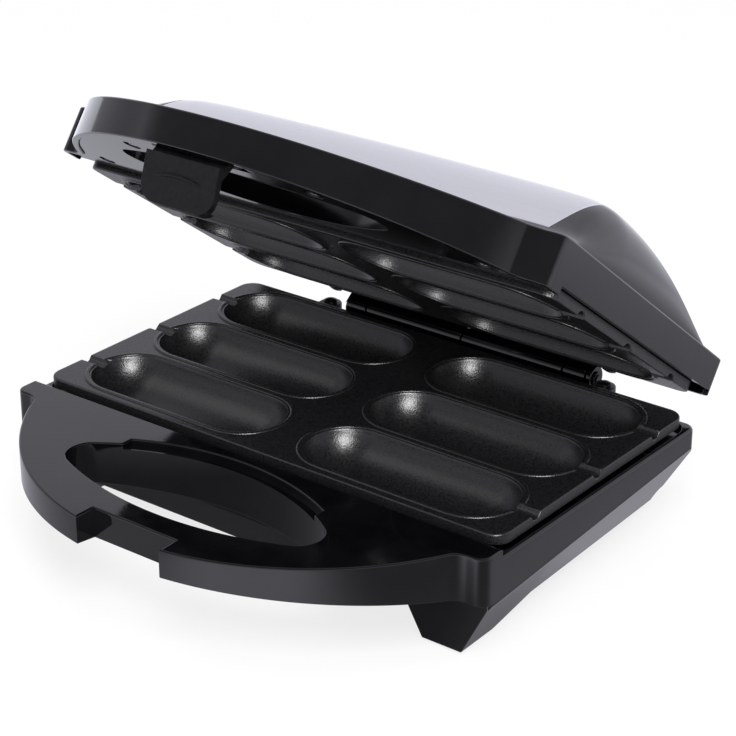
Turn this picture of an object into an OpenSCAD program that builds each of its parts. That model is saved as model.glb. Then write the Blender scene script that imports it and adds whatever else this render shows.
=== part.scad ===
// Countertop corn dog maker: two hinged cooking plates in moulded housings.
// Shapes are drawn with x = 0 on the middle, y = 0 at the lower plate's front edge and z = 0 on its
// face. stand() then moves the origin to the table, under the middle of the open machine.
// Lid pieces are drawn closed, and lid_pose() swings them open.

/* [Cooking plates] */
// Metal between a cavity's outer end and the plate's edge
plate_end = 10; // [9:0.5:16]
// Metal between the outer rows of cavities and the plate's edge
plate_edge = 5.9; // [5.5:0.1:10]
// Height of a plate's edge
plate_t = 4.2; // [3.5:0.1:5.5]
// Corner radius of a plate
plate_corner_r = 7; // [4:0.5:10]
// Length of one cavity
cavity_len = 95; // [80:1:96]
// Width of one cavity at the plate's face
cavity_w = 35; // [30:0.5:36]
// Depth of one cavity
cavity_depth = 14; // [11:0.5:15]
// Distance between cavity rows
cavity_pitch = 41.8; // [41.4:0.1:43]
// Width of the web between the two columns of cavities
cavity_web = 18; // [16:0.5:24]
// Metal left under a cavity
cavity_wall = 3; // [2:0.25:3.5]
// Height of the bead around a cavity
bead_h = 0.6; // [0.3:0.1:0.9]
// Width of the bead around a cavity
bead_w = 1.6; // [1:0.1:2.2]
// Radius of the groove that a stick lies in
stick_r = 2.9; // [2:0.1:3.5]
// Radius of a plate's rear fixing lugs
lug_r = 5; // [4.5:0.1:5.4]
// Distance of the lugs from the middle
lug_x = 71.8; // [71.8:0.1:80]
// How far the lugs' screws stand behind the plate
lug_back = 5.4; // [5:0.1:6]
// Step from a plate's face down to its lugs
lug_drop = 1.6; // [1.4:0.1:2]
// Thickness of a lug
lug_t = 3.4; // [2.5:0.1:4]

/* [Base] */
// Height of the lower plate's face above the table
face_h = 46; // [44:0.5:52]
// Gap around a plate inside its housing
plate_gap = 1; // [0.6:0.1:1.5]
// Thickness of the rim beside a plate
rim_t = 2.5; // [2:0.1:4]
// Thickness of the housings' other walls
wall = 2.6; // [2:0.1:3]
// Drop from the plate's face to the top of the handle
deck_drop = 1.9; // [1.6:0.1:2.6]
// Drop from the plate's face to the top of the side rim
rim_drop = 5.5; // [5:0.1:7]
// How far the handle reaches in front of the plate
handle_reach = 80.4; // [78:0.2:86]
// Width of the shoulder's flat front, outside its hollow curve
shoulder_w = 7.35; // [6:0.05:12]
// How far the square shoulder stands in front of the plate
shoulder = 14.5; // [13:0.5:17]
// Radius of the hollow curve from the handle into the shoulder
shoulder_r = 7; // [5:0.5:8]
// Corner radius of the shoulder
front_r = 4.5; // [3.5:0.25:5.5]
// Corner radius of the housings at the back
rear_r = 5; // [4:0.5:10]
// Drop from the plate's face to the band's lower edge at the handle's front
band_front = 13.2; // [12:0.2:14]
// Drop from the plate's face to the band's lowest point
band_low = 22.7; // [21:0.1:24]
// Drop from the plate's face to the band's lower edge at the back
band_rear = 14; // [13:0.1:15.5]
// Drop from the plate's face to the underside of the tub
tub_drop = 38; // [36:0.5:40]
// How far the tub's sides slope in
tub_slope = 10.5; // [8:0.5:13]
// Radius of the finger hole's rounded ends
hole_tip_r = 9.9; // [8:0.1:11]
// Front edge of the finger hole, in front of the plate
hole_front = 58.5; // [56:0.5:60]
// Rear edge of the finger hole, in front of the plate
hole_rear = 12; // [11:0.5:15]
// Plan radius of the finger hole's front edge
hole_front_r = 140; // [130:1:150]
// Plan radius of the finger hole's rear edge
hole_rear_r = 100; // [92:1:106]
// Half width of the latch's notch in the handle
notch_hw = 20.4; // [19.6:0.1:22]
// Depth of the latch's notch
notch_d = 11; // [10.6:0.1:12]
// Side of a foot pad
pad_r = 5; // [4:0.25:6]
// How far a foot pad stands out of its foot
pad_proud = 1; // [0.6:0.1:1.5]

/* [Hinge] */
// Distance of the hinge axis behind the plate
hinge_back = 10.1; // [9.8:0.1:13]
// Distance of the hinge axis below the plate's face
hinge_drop = 2.35; // [2.2:0.05:3.2]
// Outer radius of the hinge barrels
barrel_r = 5.4; // [4.5:0.1:5.6]
// Radius of the hinge pin
hinge_pin_r = 2; // [1.5:0.1:2.5]
// Radial clearance of a pin in its bore
pin_clear = 0.05; // [0.02:0.01:0.09]
// Gap between neighbouring barrels
barrel_gap = 0.7; // [0.4:0.1:1]
// Angle at which the lid stands open
lid_open = 36.2; // [0:0.1:95]

/* [Lid] */
// Distance between the closed plates' faces
plates_apart = 1.3; // [1.3:0.1:2.4]
// Height of the lid's band above the lower plate's face, at the handle's front
lid_front_h = 16.4; // [15:0.1:18]
// Height of the lid's band above the lower plate's face, at its shoulder
lid_high = 22.2; // [21.6:0.1:23.5]
// Height of the lid's band above the lower plate's face, at the back
lid_rear_h = 19.4; // [18.6:0.1:20.5]
// Lower edge of the lid's front band above the lower plate's face
lid_low = 2.5; // [2:0.1:3]
// Lower edge of the lid's side band above the lower plate's face
lid_side = 5.7; // [5.4:0.1:6.4]
// How far the lid reaches behind the plate
lid_back = 9.6; // [9:0.1:10.2]
// Rise of the dome above the lid's band
dome_rise = 27.4; // [25:0.2:32]
// Width of the ledge beside the dome's foot
dome_step = 1.8; // [1:0.1:3]
// Width of the ledge behind the dome's foot
dome_end = 18; // [15:0.5:20]
// Share of the plate's depth at which the dome has its crest
crest_share = 0.2914; // [0.26:0.01:0.36]
// Share of its height that the dome's crest has lost at its back edge
dome_fall = 0.6; // [0.5:0.02:0.8]
// Distance of the steel panel's sides from the dome's
panel_side = 14.7; // [12:0.1:20]
// Front edge of the steel panel behind the plate's front
panel_front = 1; // [0:0.5:6]
// Distance of the steel panel's back edge from the dome's
panel_end = 21.2; // [18:0.1:28]
// Thickness of the steel panel
panel_t = 0.6; // [0.4:0.1:0.8]
// Depth of the finger pocket under the lid's front
pocket_d = 8; // [6:0.5:9]

/* [Latch] */
// Half width of the latch's tab
latch_hw = 17.2; // [16:0.1:17.6]
// Thickness of the latch's tab
latch_t = 2.8; // [2.4:0.1:3]
// How far the latch's tab hangs below the lower plate's face
latch_drop = 17.5; // [17.4:0.1:19]
// Slant of the latch's tab
latch_slant = 17; // [14:0.5:18]
// How far the latch's lip stands out behind the tab
latch_lip = 1.4; // [1.2:0.1:1.6]
// Height of the latch's pivot above the lower plate's face
latch_pivot = 4.9; // [4.6:0.1:5.4]
// Radius of the latch's pin
latch_pin_r = 1.25; // [1:0.05:1.5]

/* [Heating] */
// Radius of a heater tube
heater_r = 3.2; // [2.8:0.1:3.4]
// Thickness of a reflector sheet
sheet_t = 0.8; // [0.5:0.1:1.2]
// Running gap between a hot piece and what holds it
seat_gap = 0.3; // [0.2:0.05:0.4]
// Radius of a thermostat
stat_r = 8; // [6:0.5:9]
// Height of a thermostat
stat_h = 9; // [7:0.5:10]
// Radius of the cord's way in
gland_bore_r = 3.6; // [3:0.1:4.2]

/* [Screws] */
// Shank radius of a screw
screw_r = 1.5; // [1.2:0.1:1.8]
// Clearance of a screw's shank in its hole
screw_clear = 0.1; // [0.05:0.05:0.2]
// Head radius of a screw
head_r = 3; // [2.6:0.1:3.2]
// Head height of a screw
head_h = 1.8; // [1.4:0.1:2]

/* [Hidden] */
$fn = 64;

// A length longer than the whole machine, for cuts that run right through
far = 400;
// Small overlap that lets a cut break cleanly through a face
eps = 0.01;

// Plates, as large as their cavities need
plate_w = cavity_web + 2 * (cavity_len + plate_end);
plate_d = 2 * cavity_pitch + cavity_w + 2 * plate_edge;

// Housing outline
housing_hw = plate_w / 2 + plate_gap + rim_t;
base_rear = plate_d + plate_gap + rim_t;
lid_rear = plate_d + lid_back;
handle_front = -handle_reach;
// The bowed front touches the hollow curve of each shoulder
hollow_x = housing_hw - shoulder_w;
hollow_y = -shoulder - shoulder_r;
hollow_reach = handle_front - hollow_y;
handle_r = (hollow_x * hollow_x + hollow_reach * hollow_reach - shoulder_r * shoulder_r)
    / (2 * (shoulder_r - hollow_reach));
handle_y = handle_front + handle_r;
// The step from the handle's level to the side rim stands this far in front of the plate
step_y = -3;
pocket_front = -plate_gap;
cross_wall = pocket_front - wall;

// Cavities: a trough is part of a capsule whose axis lies above the plate's face
trough_r = (cavity_w * cavity_w / 4 + cavity_depth * cavity_depth) / (2 * cavity_depth);
trough_z = trough_r - cavity_depth;
cavity_in = cavity_web / 2 + cavity_w / 2;
cavity_out = cavity_web / 2 + cavity_len - cavity_w / 2;
row_y = [for (i = [-1 : 1]) plate_d / 2 + i * cavity_pitch];
bulge_r = trough_r + cavity_wall;
bulge_low = cavity_depth + cavity_wall;
// Reach of the bulges from their axis at the underside of the plate
bulge_reach = sqrt(bulge_r * bulge_r - pow(trough_z + plate_t, 2));

// Ledge that a plate lies on
ledge_inset = 1.5;
ledge_hw = plate_w / 2 - ledge_inset;
ledge_in_hw = cavity_out + bulge_reach + 0.6;
ledge_in_front = row_y[0] - bulge_reach - 0.6;
ledge_in_rear = row_y[2] + bulge_reach + 0.6;
ring_floor = 8;
ring_t = 2.4;

// Hinge
hinge_y = plate_d + hinge_back;
hinge_z = -hinge_drop;
barrel_edges = [-63.4, -52, -0.6, 51.2, 62.6, 65.4];
lid_barrels = [0, 3];
base_barrels = [1, 2, 4];
shelf_top = hinge_z - barrel_r - 1.2;
shelf_t = 4;
clip_t = 0.8;
clip_r = 3.2;

// Latch
latch_clear = 0.4;
latch_barrel_r = 2.3;
latch_wall_y = handle_y - sqrt(pow(handle_r - wall, 2) - latch_hw * latch_hw);
latch_y = latch_wall_y + latch_clear + latch_barrel_r;
ear_t = 2.6;
ear_x = latch_hw + 0.6;
notch_y = handle_front + notch_d;

// Lid closed: the upper plate is the lower one turned over, and the band's top slopes like the base's
lid_high_y = -8;
function lid_top_z(y) = y < lid_high_y
    ? lid_front_h + (lid_high - lid_front_h) * (y - handle_front) / (lid_high_y - handle_front)
    : lid_high + (lid_rear_h - lid_high) * (y - lid_high_y) / (lid_rear - lid_high_y);
deck_tilt = atan2(lid_high - lid_front_h, lid_high_y - handle_front);
upper_back = plates_apart + plate_t;
dome_hw = housing_hw - dome_step;
dome_front = -6;
dome_back = lid_rear - dome_end;
deck_under_dome = 8;
dome_crest = crest_share * plate_d;
panel_hw = dome_hw - panel_side;
panel_rear = dome_back - panel_end;
dome_wall = 2.4;
panel_gap = 0.4;
deck_t = 2.4;
cover_z = lid_low + 0.8;
cover_t = 2;
cover_clear = 0.25;
cover_seat = cover_z + head_h + 0.2;

// Rear end of the open lid, and the middle of the whole machine's footprint
open_rear = hinge_y + (lid_rear - hinge_y) * cos(lid_open) + (lid_rear_h - hinge_z) * sin(lid_open);
foot_mid = (handle_front + max(open_rear, hinge_y + barrel_r)) / 2;

// Screw places: in the handle's wings, in the plate ring's rear corners, and beside the finger pocket
boss_r = screw_r + 2;
well_r = head_r + 0.5;
wing_in = 33.5;
wing_back = 11.5;
base_screw_at = [for (s = [-1, 1]) each [
    [s * (housing_hw - wing_in), -shoulder - wing_back], [s * (ledge_in_hw - 2), ledge_in_rear - 2.4]
]];
cover_side_in = 26.5;
cover_front_x = 43;
cover_screw_at = [for (s = [-1, 1]) each [
    [s * (housing_hw - cover_side_in), -shoulder], [s * cover_front_x, -hole_front]
]];
lug_at = [for (s = [-1, 1]) [s * lug_x, plate_d + lug_back]];

// Finishes
gloss_black = [0.03, 0.03, 0.035];
plate_black = [0.12, 0.12, 0.125];
steel = [0.72, 0.72, 0.76];
bright_metal = [0.62, 0.62, 0.64];
cream = [0.86, 0.82, 0.72];

// Height of the line where the base's band ends and its tub begins
band_low_y = -7;
function band_z(y) = y < band_low_y
    ? -band_front - (band_low - band_front) * (y - handle_front) / (band_low_y - handle_front)
    : -band_low + (band_low - band_rear) * (y - band_low_y) / (base_rear - band_low_y);

module stand() translate([0, -foot_mid, face_h]) children();

module lid_pose() stand()
    translate([0, hinge_y, hinge_z])
        rotate([-lid_open, 0, 0])
            translate([0, -hinge_y, -hinge_z])
                children();

// Turns a lower plate's piece over for the lid
module turned_over() translate([0, 0, plates_apart]) mirror([0, 0, 1]) children();

module mirrored() {
    children();
    mirror([1, 0, 0]) children();
}

// Extrudes a y-z outline along x between two places
module along_x(from, to) translate([from, 0, 0]) rotate([90, 0, 90]) linear_extrude(to - from) children();

// Extrudes an x-z outline along y between two places
module along_y(from, to) translate([0, to, 0]) rotate([90, 0, 0]) linear_extrude(to - from) children();

module between(z0, z1) translate([0, 0, z0]) linear_extrude(z1 - z0) children();

module bar_x(from, to, r) translate([from, 0, 0]) rotate([0, 90, 0]) cylinder(h = to - from, r = r);

// Rectangle about x = 0 with one radius at its front corners and one at its back corners
module round_box(hw, front, rear, rf, rr) {
    translate([-hw + rf, front]) square([2 * (hw - rf), rear - rr - front]);
    translate([-hw, front + rf]) square([2 * hw, rear - rr - front - rf]);
    translate([-hw + rr, rear - rr - eps]) square([2 * (hw - rr), rr + eps]);
    mirrored() {
        translate([hw - rf, front + rf]) circle(rf);
        translate([hw - rr, rear - rr]) circle(rr);
    }
}

// Plan of a housing: square at the back, with a bowed handle on hollow shoulders in front
module housing_plan(inset, rear) {
    front = -shoulder + inset;
    bow_r = handle_r - inset;
    hollow_r = shoulder_r + inset;
    reach = handle_r + shoulder_r;
    meets = [hollow_x * bow_r / reach, handle_y + (hollow_y - handle_y) * bow_r / reach];
    round_box(housing_hw - inset, front, rear - inset, front_r - min(inset, front_r - 1), rear_r - inset);
    intersection() {
        translate([0, handle_y]) circle(bow_r, $fn = 128);
        translate([-meets[0], handle_front]) square([2 * meets[0], handle_reach - shoulder + inset + 2]);
    }
    mirrored() difference() {
        polygon([
            meets, [hollow_x, front], [hollow_x, front + 2],
            [meets[0] - 4, front + 2], [meets[0] - 4, meets[1]]
        ]);
        translate([hollow_x, hollow_y]) circle(hollow_r);
    }
}

// Only the part of a plan that lies in front of a line across the machine
module in_front_of(y) intersection() {
    children();
    translate([-far / 2, -far]) square([far, far + y]);
}

// Lens-shaped finger hole, grown outwards by a margin: four arcs, each tangent to the next
lens_steps = 40;
tip_steps = 16;
function arc(c, r, from, to, n) = [
    for (i = [0 : n - 1]) let (a = from + (to - from) * i / n) c + r * [cos(a), sin(a)]
];
module finger_hole(grow) {
    front_y = -hole_front + hole_front_r;
    rear_y = -hole_rear - hole_rear_r;
    front_gap = hole_front_r - hole_tip_r;
    rear_gap = hole_rear_r - hole_tip_r;
    squares = pow(rear_gap, 2) - pow(front_gap, 2) + pow(front_y, 2) - pow(rear_y, 2);
    tip_y = squares / (2 * (front_y - rear_y));
    tip_x = sqrt(front_gap * front_gap - pow(tip_y - front_y, 2));
    front_end = atan2(tip_y - front_y, tip_x);
    rear_end = atan2(tip_y - rear_y, tip_x);
    tip_r = hole_tip_r + grow;
    polygon(concat(
        arc([0, front_y], hole_front_r + grow, -180 - front_end, front_end, lens_steps),
        arc([tip_x, tip_y], tip_r, front_end, rear_end, tip_steps),
        arc([0, rear_y], hole_rear_r + grow, rear_end, 180 - rear_end, lens_steps),
        arc([-tip_x, tip_y], tip_r, 180 - rear_end, 180 - front_end, tip_steps)
    ));
}

module notch(grow) translate([-notch_hw - grow, handle_front - 5])
    square([2 * (notch_hw + grow), notch_d + 5 + grow]);

module plate_pocket() round_box(
    plate_w / 2 + plate_gap, pocket_front, plate_d + plate_gap,
    plate_corner_r + plate_gap, plate_corner_r + plate_gap
);

// Ring that a plate's edge rests on, seen from above
module ledge_plan() difference() {
    round_box(ledge_hw, ledge_inset, plate_d - ledge_inset, plate_corner_r - 1, plate_corner_r - 1);
    round_box(ledge_in_hw, ledge_in_front, ledge_in_rear, 5, 5);
}

module ring_plan() difference() {
    plate_pocket();
    round_box(ledge_in_hw, ledge_in_front, ledge_in_rear, 5, 5);
}

// Capsule lying along x, from which the cavities and their bulges are cut
module capsule(r) {
    bar_x(cavity_in, cavity_out, r);
    for (x = [cavity_in, cavity_out]) translate([x, 0, 0]) sphere(r);
}

module at_cavities() mirrored() for (y = row_y) translate([0, y, trough_z]) children();

module bead_plan(hw) {
    translate([cavity_in, -hw]) square([cavity_out - cavity_in, 2 * hw]);
    for (x = [cavity_in, cavity_out]) translate([x, 0]) circle(hw);
}

// Cooking plate, face up: capsule troughs with a bead each, stick grooves and two rear lugs
module cooking_plate() difference() {
    union() {
        between(-plate_t, 0)
            round_box(plate_w / 2, 0, plate_d, plate_corner_r, plate_corner_r);
        intersection() {
            at_cavities() capsule(bulge_r);
            between(-far / 2, -plate_t / 2) square(far, center = true);
        }
        mirrored() for (y = row_y)
            translate([0, y, -eps]) linear_extrude(bead_h + eps) bead_plan(cavity_w / 2 + bead_w);
        for (p = lug_at) between(-lug_drop - lug_t, -lug_drop) {
            translate(p) circle(lug_r);
            translate([p[0] - lug_r, plate_d - 2]) square([2 * lug_r, lug_back + 2]);
        }
    }
    at_cavities() capsule(trough_r);
    mirrored() for (y = row_y)
        translate([0, y, bead_h]) bar_x(cavity_out, far / 2, stick_r);
    for (p = lug_at) translate(p) cylinder(h = far, r = screw_r + screw_clear, center = true);
}

// Pan-head screw pointing down, with the underside of its head at z = 0
slot_len = head_r * 1.2;
slot_w = 0.7;
slot_d = 0.9;
module screw(length) {
    translate([0, 0, -length]) cylinder(h = length, r = screw_r);
    difference() {
        rotate_extrude() intersection() {
            square([head_r, head_h]);
            translate([0, head_h - 2.2 * head_r]) circle(2.2 * head_r);
        }
        for (a = [0, 90]) rotate([0, 0, a])
            translate([-slot_len / 2, -slot_w / 2, head_h - slot_d]) cube([slot_len, slot_w, slot_d + 1]);
    }
}

// Pair of heating rods in the valleys between the rows, clear of the plate, with a terminal at each end
heater_gap = bulge_r + heater_r + seat_gap;
valley_z = trough_z - sqrt(heater_gap * heater_gap - pow(cavity_pitch / 2, 2));
heater_z = min(valley_z, -plate_t - heater_r - seat_gap);
heater_end = cavity_out + 12;
terminal_r = 1.5;
terminal_len = 6;
module heater() for (s = [-1, 1]) translate([0, plate_d / 2 + s * cavity_pitch / 2, heater_z]) {
    bar_x(-heater_end, heater_end, heater_r);
    bar_x(-heater_end - terminal_len, heater_end + terminal_len, terminal_r);
}

// Shallow tray of bright sheet close under the bulges, its front and side edges turned up
tray_z = -bulge_low - seat_gap;
tray_hw = cavity_out + bulge_r * 0.8;
tray_gap = 0.6;
tray_front = ledge_in_front + seat_gap;
tray_rear = dome_back - deck_under_dome - tray_gap;
tray_r = 8;
tray_lip = 5;
module tray_plan(inset) difference() {
    round_box(tray_hw - inset, tray_front + inset, tray_rear - inset, tray_r - inset, tray_r - inset);
    for (p = base_screw_at) translate(p) circle(boss_r + 2.5 + inset);
}
module reflector() {
    between(tray_z - sheet_t, tray_z) tray_plan(0);
    between(tray_z - sheet_t, tray_z + tray_lip) difference() {
        tray_plan(0);
        tray_plan(sheet_t);
        translate([-far / 2, tray_rear - tray_r]) square(far);
    }
}

// Side view of the base's band, from its lower edge up to the handle's and the rim's tops
module band_profile() polygon([
    [handle_front - 1, band_z(handle_front - 1)], [band_low_y, -band_low], [base_rear, -band_rear],
    [base_rear + 1, -rim_drop], [step_y, -rim_drop], [step_y, -deck_drop], [handle_front - 1, -deck_drop]
]);

// Upper half of the base: handle, shoulders, rim round the plate and the fixed hinge barrels
skirt_low = deck_drop + wall + 3;
module base_frame() color(gloss_black) stand() difference() {
    union() {
        difference() {
            intersection() {
                between(-far / 2, far / 2) housing_plan(0, base_rear);
                along_x(-far / 2, far / 2) band_profile();
            }
            between(-far / 2, far / 2) plate_pocket();
            between(-far / 2, -skirt_low) difference() {
                in_front_of(cross_wall) housing_plan(wall, base_rear);
                notch(wall);
            }
            between(-far / 2, -deck_drop - wall) difference() {
                in_front_of(cross_wall) housing_plan(wall, base_rear);
                notch(wall);
                finger_hole(wall);
            }
        }
        between(-ring_floor - ring_t, -ring_floor) ring_plan();
        between(-ring_floor - ring_t, -plate_t) ledge_plan();
        for (p = base_screw_at) translate([p[0], p[1], base_seat(p)])
            cylinder(h = -ring_floor - base_seat(p), r = boss_r);
        for (p = base_screw_at) if (p[1] < 0) translate([p[0], p[1], base_seat(p)])
            cylinder(h = -deck_drop - base_seat(p) - 1, r = boss_r);
        hinge_shelf();
    }
    between(-far / 2, far / 2) finger_hole(0);
    between(-far / 2, far / 2) notch(0);
    finger_rebate();
    for (p = base_screw_at) translate([p[0], p[1], base_seat(p) - 1])
        cylinder(h = boss_depth + 1, r = screw_r + screw_clear);
    for (p = lug_at) translate([p[0], p[1], -lug_drop - lug_t - boss_depth])
        cylinder(h = far, r = screw_r + screw_clear);
    at_hinge() bar_x(-far / 2, far / 2, hinge_pin_r + pin_clear);
}

// Ledge let into the rear edge of the finger hole
rebate_w = 4.5;
rebate_d = 2.4;
rebate_hw = 48;
module finger_rebate() between(-deck_drop - rebate_d, far / 2) intersection() {
    finger_hole(rebate_w);
    polygon([[-rebate_hw + 4, -hole_rear - 26], [-rebate_hw, -hole_rear - 8], [-rebate_hw, 0],
             [rebate_hw, 0], [rebate_hw, -hole_rear - 8], [rebate_hw - 4, -hole_rear - 26]]);
}

// Shelf behind the plate with the fixed barrels and the lugs' bosses
boss_depth = 7;
module hinge_shelf() {
    between(shelf_top - shelf_t, shelf_top)
        round_box(lug_x + lug_r + 1.5, base_rear - rim_t, hinge_y + 3, 2, 4);
    for (p = lug_at) translate([p[0], p[1], shelf_top - eps])
        cylinder(h = -lug_drop - lug_t - shelf_top + eps, r = lug_r - 0.4);
    for (i = base_barrels) barrel(i) translate([hinge_y - 4, shelf_top - eps])
        square([8, hinge_z - shelf_top + eps]);
}

// Barrel with the web that carries it, drawn in the y-z plane
module barrel(i) along_x(barrel_edges[i] + barrel_gap / 2, barrel_edges[i + 1] - barrel_gap / 2) {
    translate([hinge_y, hinge_z]) circle(barrel_r);
    children();
}

// Height at which the frame's boss meets the tub's
front_seat = 12;
rear_seat = 15;
function base_seat(p) = p[1] < 0 ? -front_seat : -rear_seat;

// Side view of the tub, between its lower edge and the band, brought in by a wall
tub_front = -11;
tub_front_slope = 6;
function tub_in(t) = t * sqrt(1 + pow(tub_slope / (tub_drop - band_rear), 2));
module tub_profile(t) polygon([
    [tub_front + t, band_z(tub_front)], [band_low_y + t, -band_low], [base_rear - tub_in(t), -band_rear],
    [base_rear - tub_in(t) - tub_slope * (tub_drop - t - band_rear) / (tub_drop - band_rear), -tub_drop + t],
    [tub_front + t + tub_front_slope, -tub_drop + t]
]);

// Half space beyond the tub's sloping side, brought in by a wall
module beyond_side(t) {
    along = [0, base_rear - band_low_y, band_low - band_rear];
    down = [-tub_slope, plate_d / 2 - band_low_y, band_low - tub_drop];
    across = cross(down, along);
    n = across / norm(across);
    translate([housing_hw, band_low_y, -band_low] - n * t)
        rotate([0, acos(n[2]), atan2(n[1], n[0])])
            translate([-far / 2, -far / 2, 0]) cube(far);
}

module tub_body(t) difference() {
    intersection() {
        between(-far / 2, 0) round_box(housing_hw - t, tub_front + t, base_rear - t, 2, rear_r - t);
        along_x(-far / 2, far / 2) tub_profile(t);
    }
    mirrored() beyond_side(t);
}

// Feet: wedges under the front corners, plain blocks at the back
foot_low = face_h - pad_proud;
foot_root = 4;
front_foot_in = [35.5, 29, 14, 9.5];
rear_foot_in = [37.5, 33.5, 19.5, 16.5];
function foot(at, root) = [
    [housing_hw - at[0], root], [housing_hw - at[1], -foot_low],
    [housing_hw - at[2], -foot_low], [housing_hw - at[3], root]
];
front_foot = foot(front_foot_in, -tub_drop + foot_root);
rear_foot = foot(rear_foot_in, -tub_drop + foot_root / 2);
front_foot_y = [tub_front - 0.5, 9];
rear_foot_back = [34, 16];
rear_foot_y = [plate_d - rear_foot_back[0], plate_d - rear_foot_back[1]];
pad_at = [for (s = [-1, 1]) each [
    [s * (front_foot[1][0] + front_foot[2][0]) / 2, (front_foot_y[0] + front_foot_y[1]) / 2],
    [s * (rear_foot[1][0] + rear_foot[2][0]) / 2, (rear_foot_y[0] + rear_foot_y[1]) / 2]
]];
pad_let_in = 1.2;

// Lower half of the base: chamfered tub, underside of the handle, feet and screw wells
gland_tilt = atan2(tub_slope, tub_drop - band_rear);
gland_z = -(band_rear + tub_drop) / 2;
gland_y = base_rear - tub_slope / 2;
cord_x = 60;
module at_gland() translate([cord_x, gland_y, gland_z]) rotate([-90 - gland_tilt, 0, 0]) children();
gland_r = gland_bore_r + 2;
under_clear = 0.25;
under_step = 0.6;
under_t = 2.4;
module base_tub() color(gloss_black) stand() difference() {
    union() {
        difference() {
            tub_body(0);
            tub_body(wall);
            between(-band_rear - 3, 0)
                round_box(housing_hw - wall, tub_front + wall, base_rear - tub_in(wall), 2, rear_r - wall);
        }
        handle_underside();
        mirrored() {
            along_y(front_foot_y[0], front_foot_y[1]) polygon(front_foot);
            along_y(rear_foot_y[0], rear_foot_y[1]) polygon(rear_foot);
        }
        for (p = base_screw_at) screw_well(p);
    }
    for (p = base_screw_at) translate([p[0], p[1], 0]) {
        translate([0, 0, -far]) cylinder(h = far + base_seat(p) - 3, r = well_r);
        cylinder(h = far, r = screw_r + screw_clear, center = true);
    }
    for (p = pad_at) translate([p[0], p[1], -far]) cylinder(h = far - foot_low + pad_let_in, r = pad_r);
    at_gland() cylinder(h = far / 4, r = gland_r, center = true);
}

// Tube that a screw's head goes up into, kept inside the tub's outer faces
module screw_well(p) difference() {
    floor_z = p[1] < 0 ? band_z(p[1]) + 1 : -tub_drop;
    translate([p[0], p[1], floor_z]) cylinder(h = base_seat(p) - floor_z, r = well_r + 1.6);
    mirrored() beyond_side(0);
    along_x(-far / 2, far / 2) polygon([
        [base_rear, -band_rear], [base_rear - tub_slope, -tub_drop], [base_rear, -tub_drop]
    ]);
}

// Plate that closes the handle from below, with the walls of the finger hole on it
under_front_z = band_z(handle_front) + under_step;
under_rear_z = band_z(tub_front) + under_step;
module handle_underside() difference() {
    union() {
        intersection() {
            between(-far / 2, 0) in_front_of(tub_front + wall) difference() {
                housing_plan(wall + under_clear, base_rear);
                notch(wall + under_clear);
            }
            along_x(-far / 2, far / 2) polygon([
                [handle_front, under_front_z], [tub_front, under_rear_z],
                [tub_front, -band_low - 1], [tub_front + wall, -band_low - 1],
                [tub_front + wall, under_rear_z + under_t], [handle_front, under_front_z + under_t]
            ]);
        }
        intersection() {
            between(-far / 2, -skirt_low - 0.2) finger_hole(wall);
            along_x(-far / 2, far / 2) polygon([
                [handle_front, under_front_z], [tub_front, under_rear_z], [tub_front + wall, under_rear_z],
                [tub_front + wall, 0], [handle_front, 0]
            ]);
        }
    }
    between(-far / 2, 0) finger_hole(0);
}

module foot_pads() color([0.06, 0.06, 0.06]) stand() for (p = pad_at)
    translate([p[0], p[1], -face_h]) cylinder(h = pad_proud + pad_let_in, r = pad_r);

module lower_plate() color(plate_black) stand() cooking_plate();

module lug_screws() for (p = lug_at) translate([p[0], p[1], -lug_drop]) screw(lug_t + boss_depth - 0.5);

module lower_plate_screws() color(bright_metal) stand() lug_screws();

module lower_heater() color([0.35, 0.33, 0.32]) stand() heater();

module lower_reflector() color(bright_metal) stand() reflector();

// Snap-disc switch with two tabs, hung under the lower tray
stat_tab = 5;
tab_w = 3.2;
tab_t = 0.8;
module snap_switch() {
    translate([0, 0, -stat_h]) cylinder(h = stat_h, r = stat_r);
    for (s = [-1, 1]) translate([s * stat_r / 2 - tab_w / 2, -tab_t / 2, -stat_h - stat_tab])
        cube([tab_w, tab_t, stat_tab + eps]);
}

module thermostat() color(cream) stand() translate([0, plate_d / 2, tray_z - sheet_t]) snap_switch();

// Fuse in a sleeve with a lead at each end, held close under the tray
fuse_r = 3;
fuse_x = 45;
fuse_len = 26;
lead_len = 44;
lead_r = 0.7;
module thermal_fuse() color(cream) stand() translate([fuse_x, plate_d / 2, tray_z - sheet_t - fuse_r]) {
    bar_x(-fuse_len / 2, fuse_len / 2, fuse_r);
    bar_x(-lead_len / 2, lead_len / 2, lead_r);
}

// Three-way terminal block on the tub's floor
block_w = 34;
block_d = 16;
block_h = 12;
block_back = 34;
way_pitch = 10.5;
way_r = 2;
module terminal_block() color(cream) stand()
    translate([cord_x, plate_d - block_back, -tub_drop + wall]) difference() {
        translate([-block_w / 2, -block_d / 2, 0]) cube([block_w, block_d, block_h]);
        for (x = [-1 : 1]) translate([x * way_pitch, 0, block_h / 2]) {
            rotate([90, 0, 0]) cylinder(h = far, r = way_r, center = true);
            cylinder(h = block_h, r = way_r + 0.2);
        }
    }

// Bush in the tub's sloping back wall, through which a lead would come in
module cord_gland() color([0.05, 0.05, 0.05]) stand() at_gland() difference() {
    union() {
        translate([0, 0, -wall - 2.4]) cylinder(h = wall + 2.4 + 0.6, r = gland_r - 0.15);
        translate([0, 0, 0.3]) cylinder(h = 1.8, r = gland_r + 2);
    }
    cylinder(h = far, r = gland_bore_r, center = true);
}

module base_screws() color(bright_metal) stand() for (p = base_screw_at)
    translate([p[0], p[1], base_seat(p) - 3]) mirror([0, 0, 1]) screw(boss_depth + 2);

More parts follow.
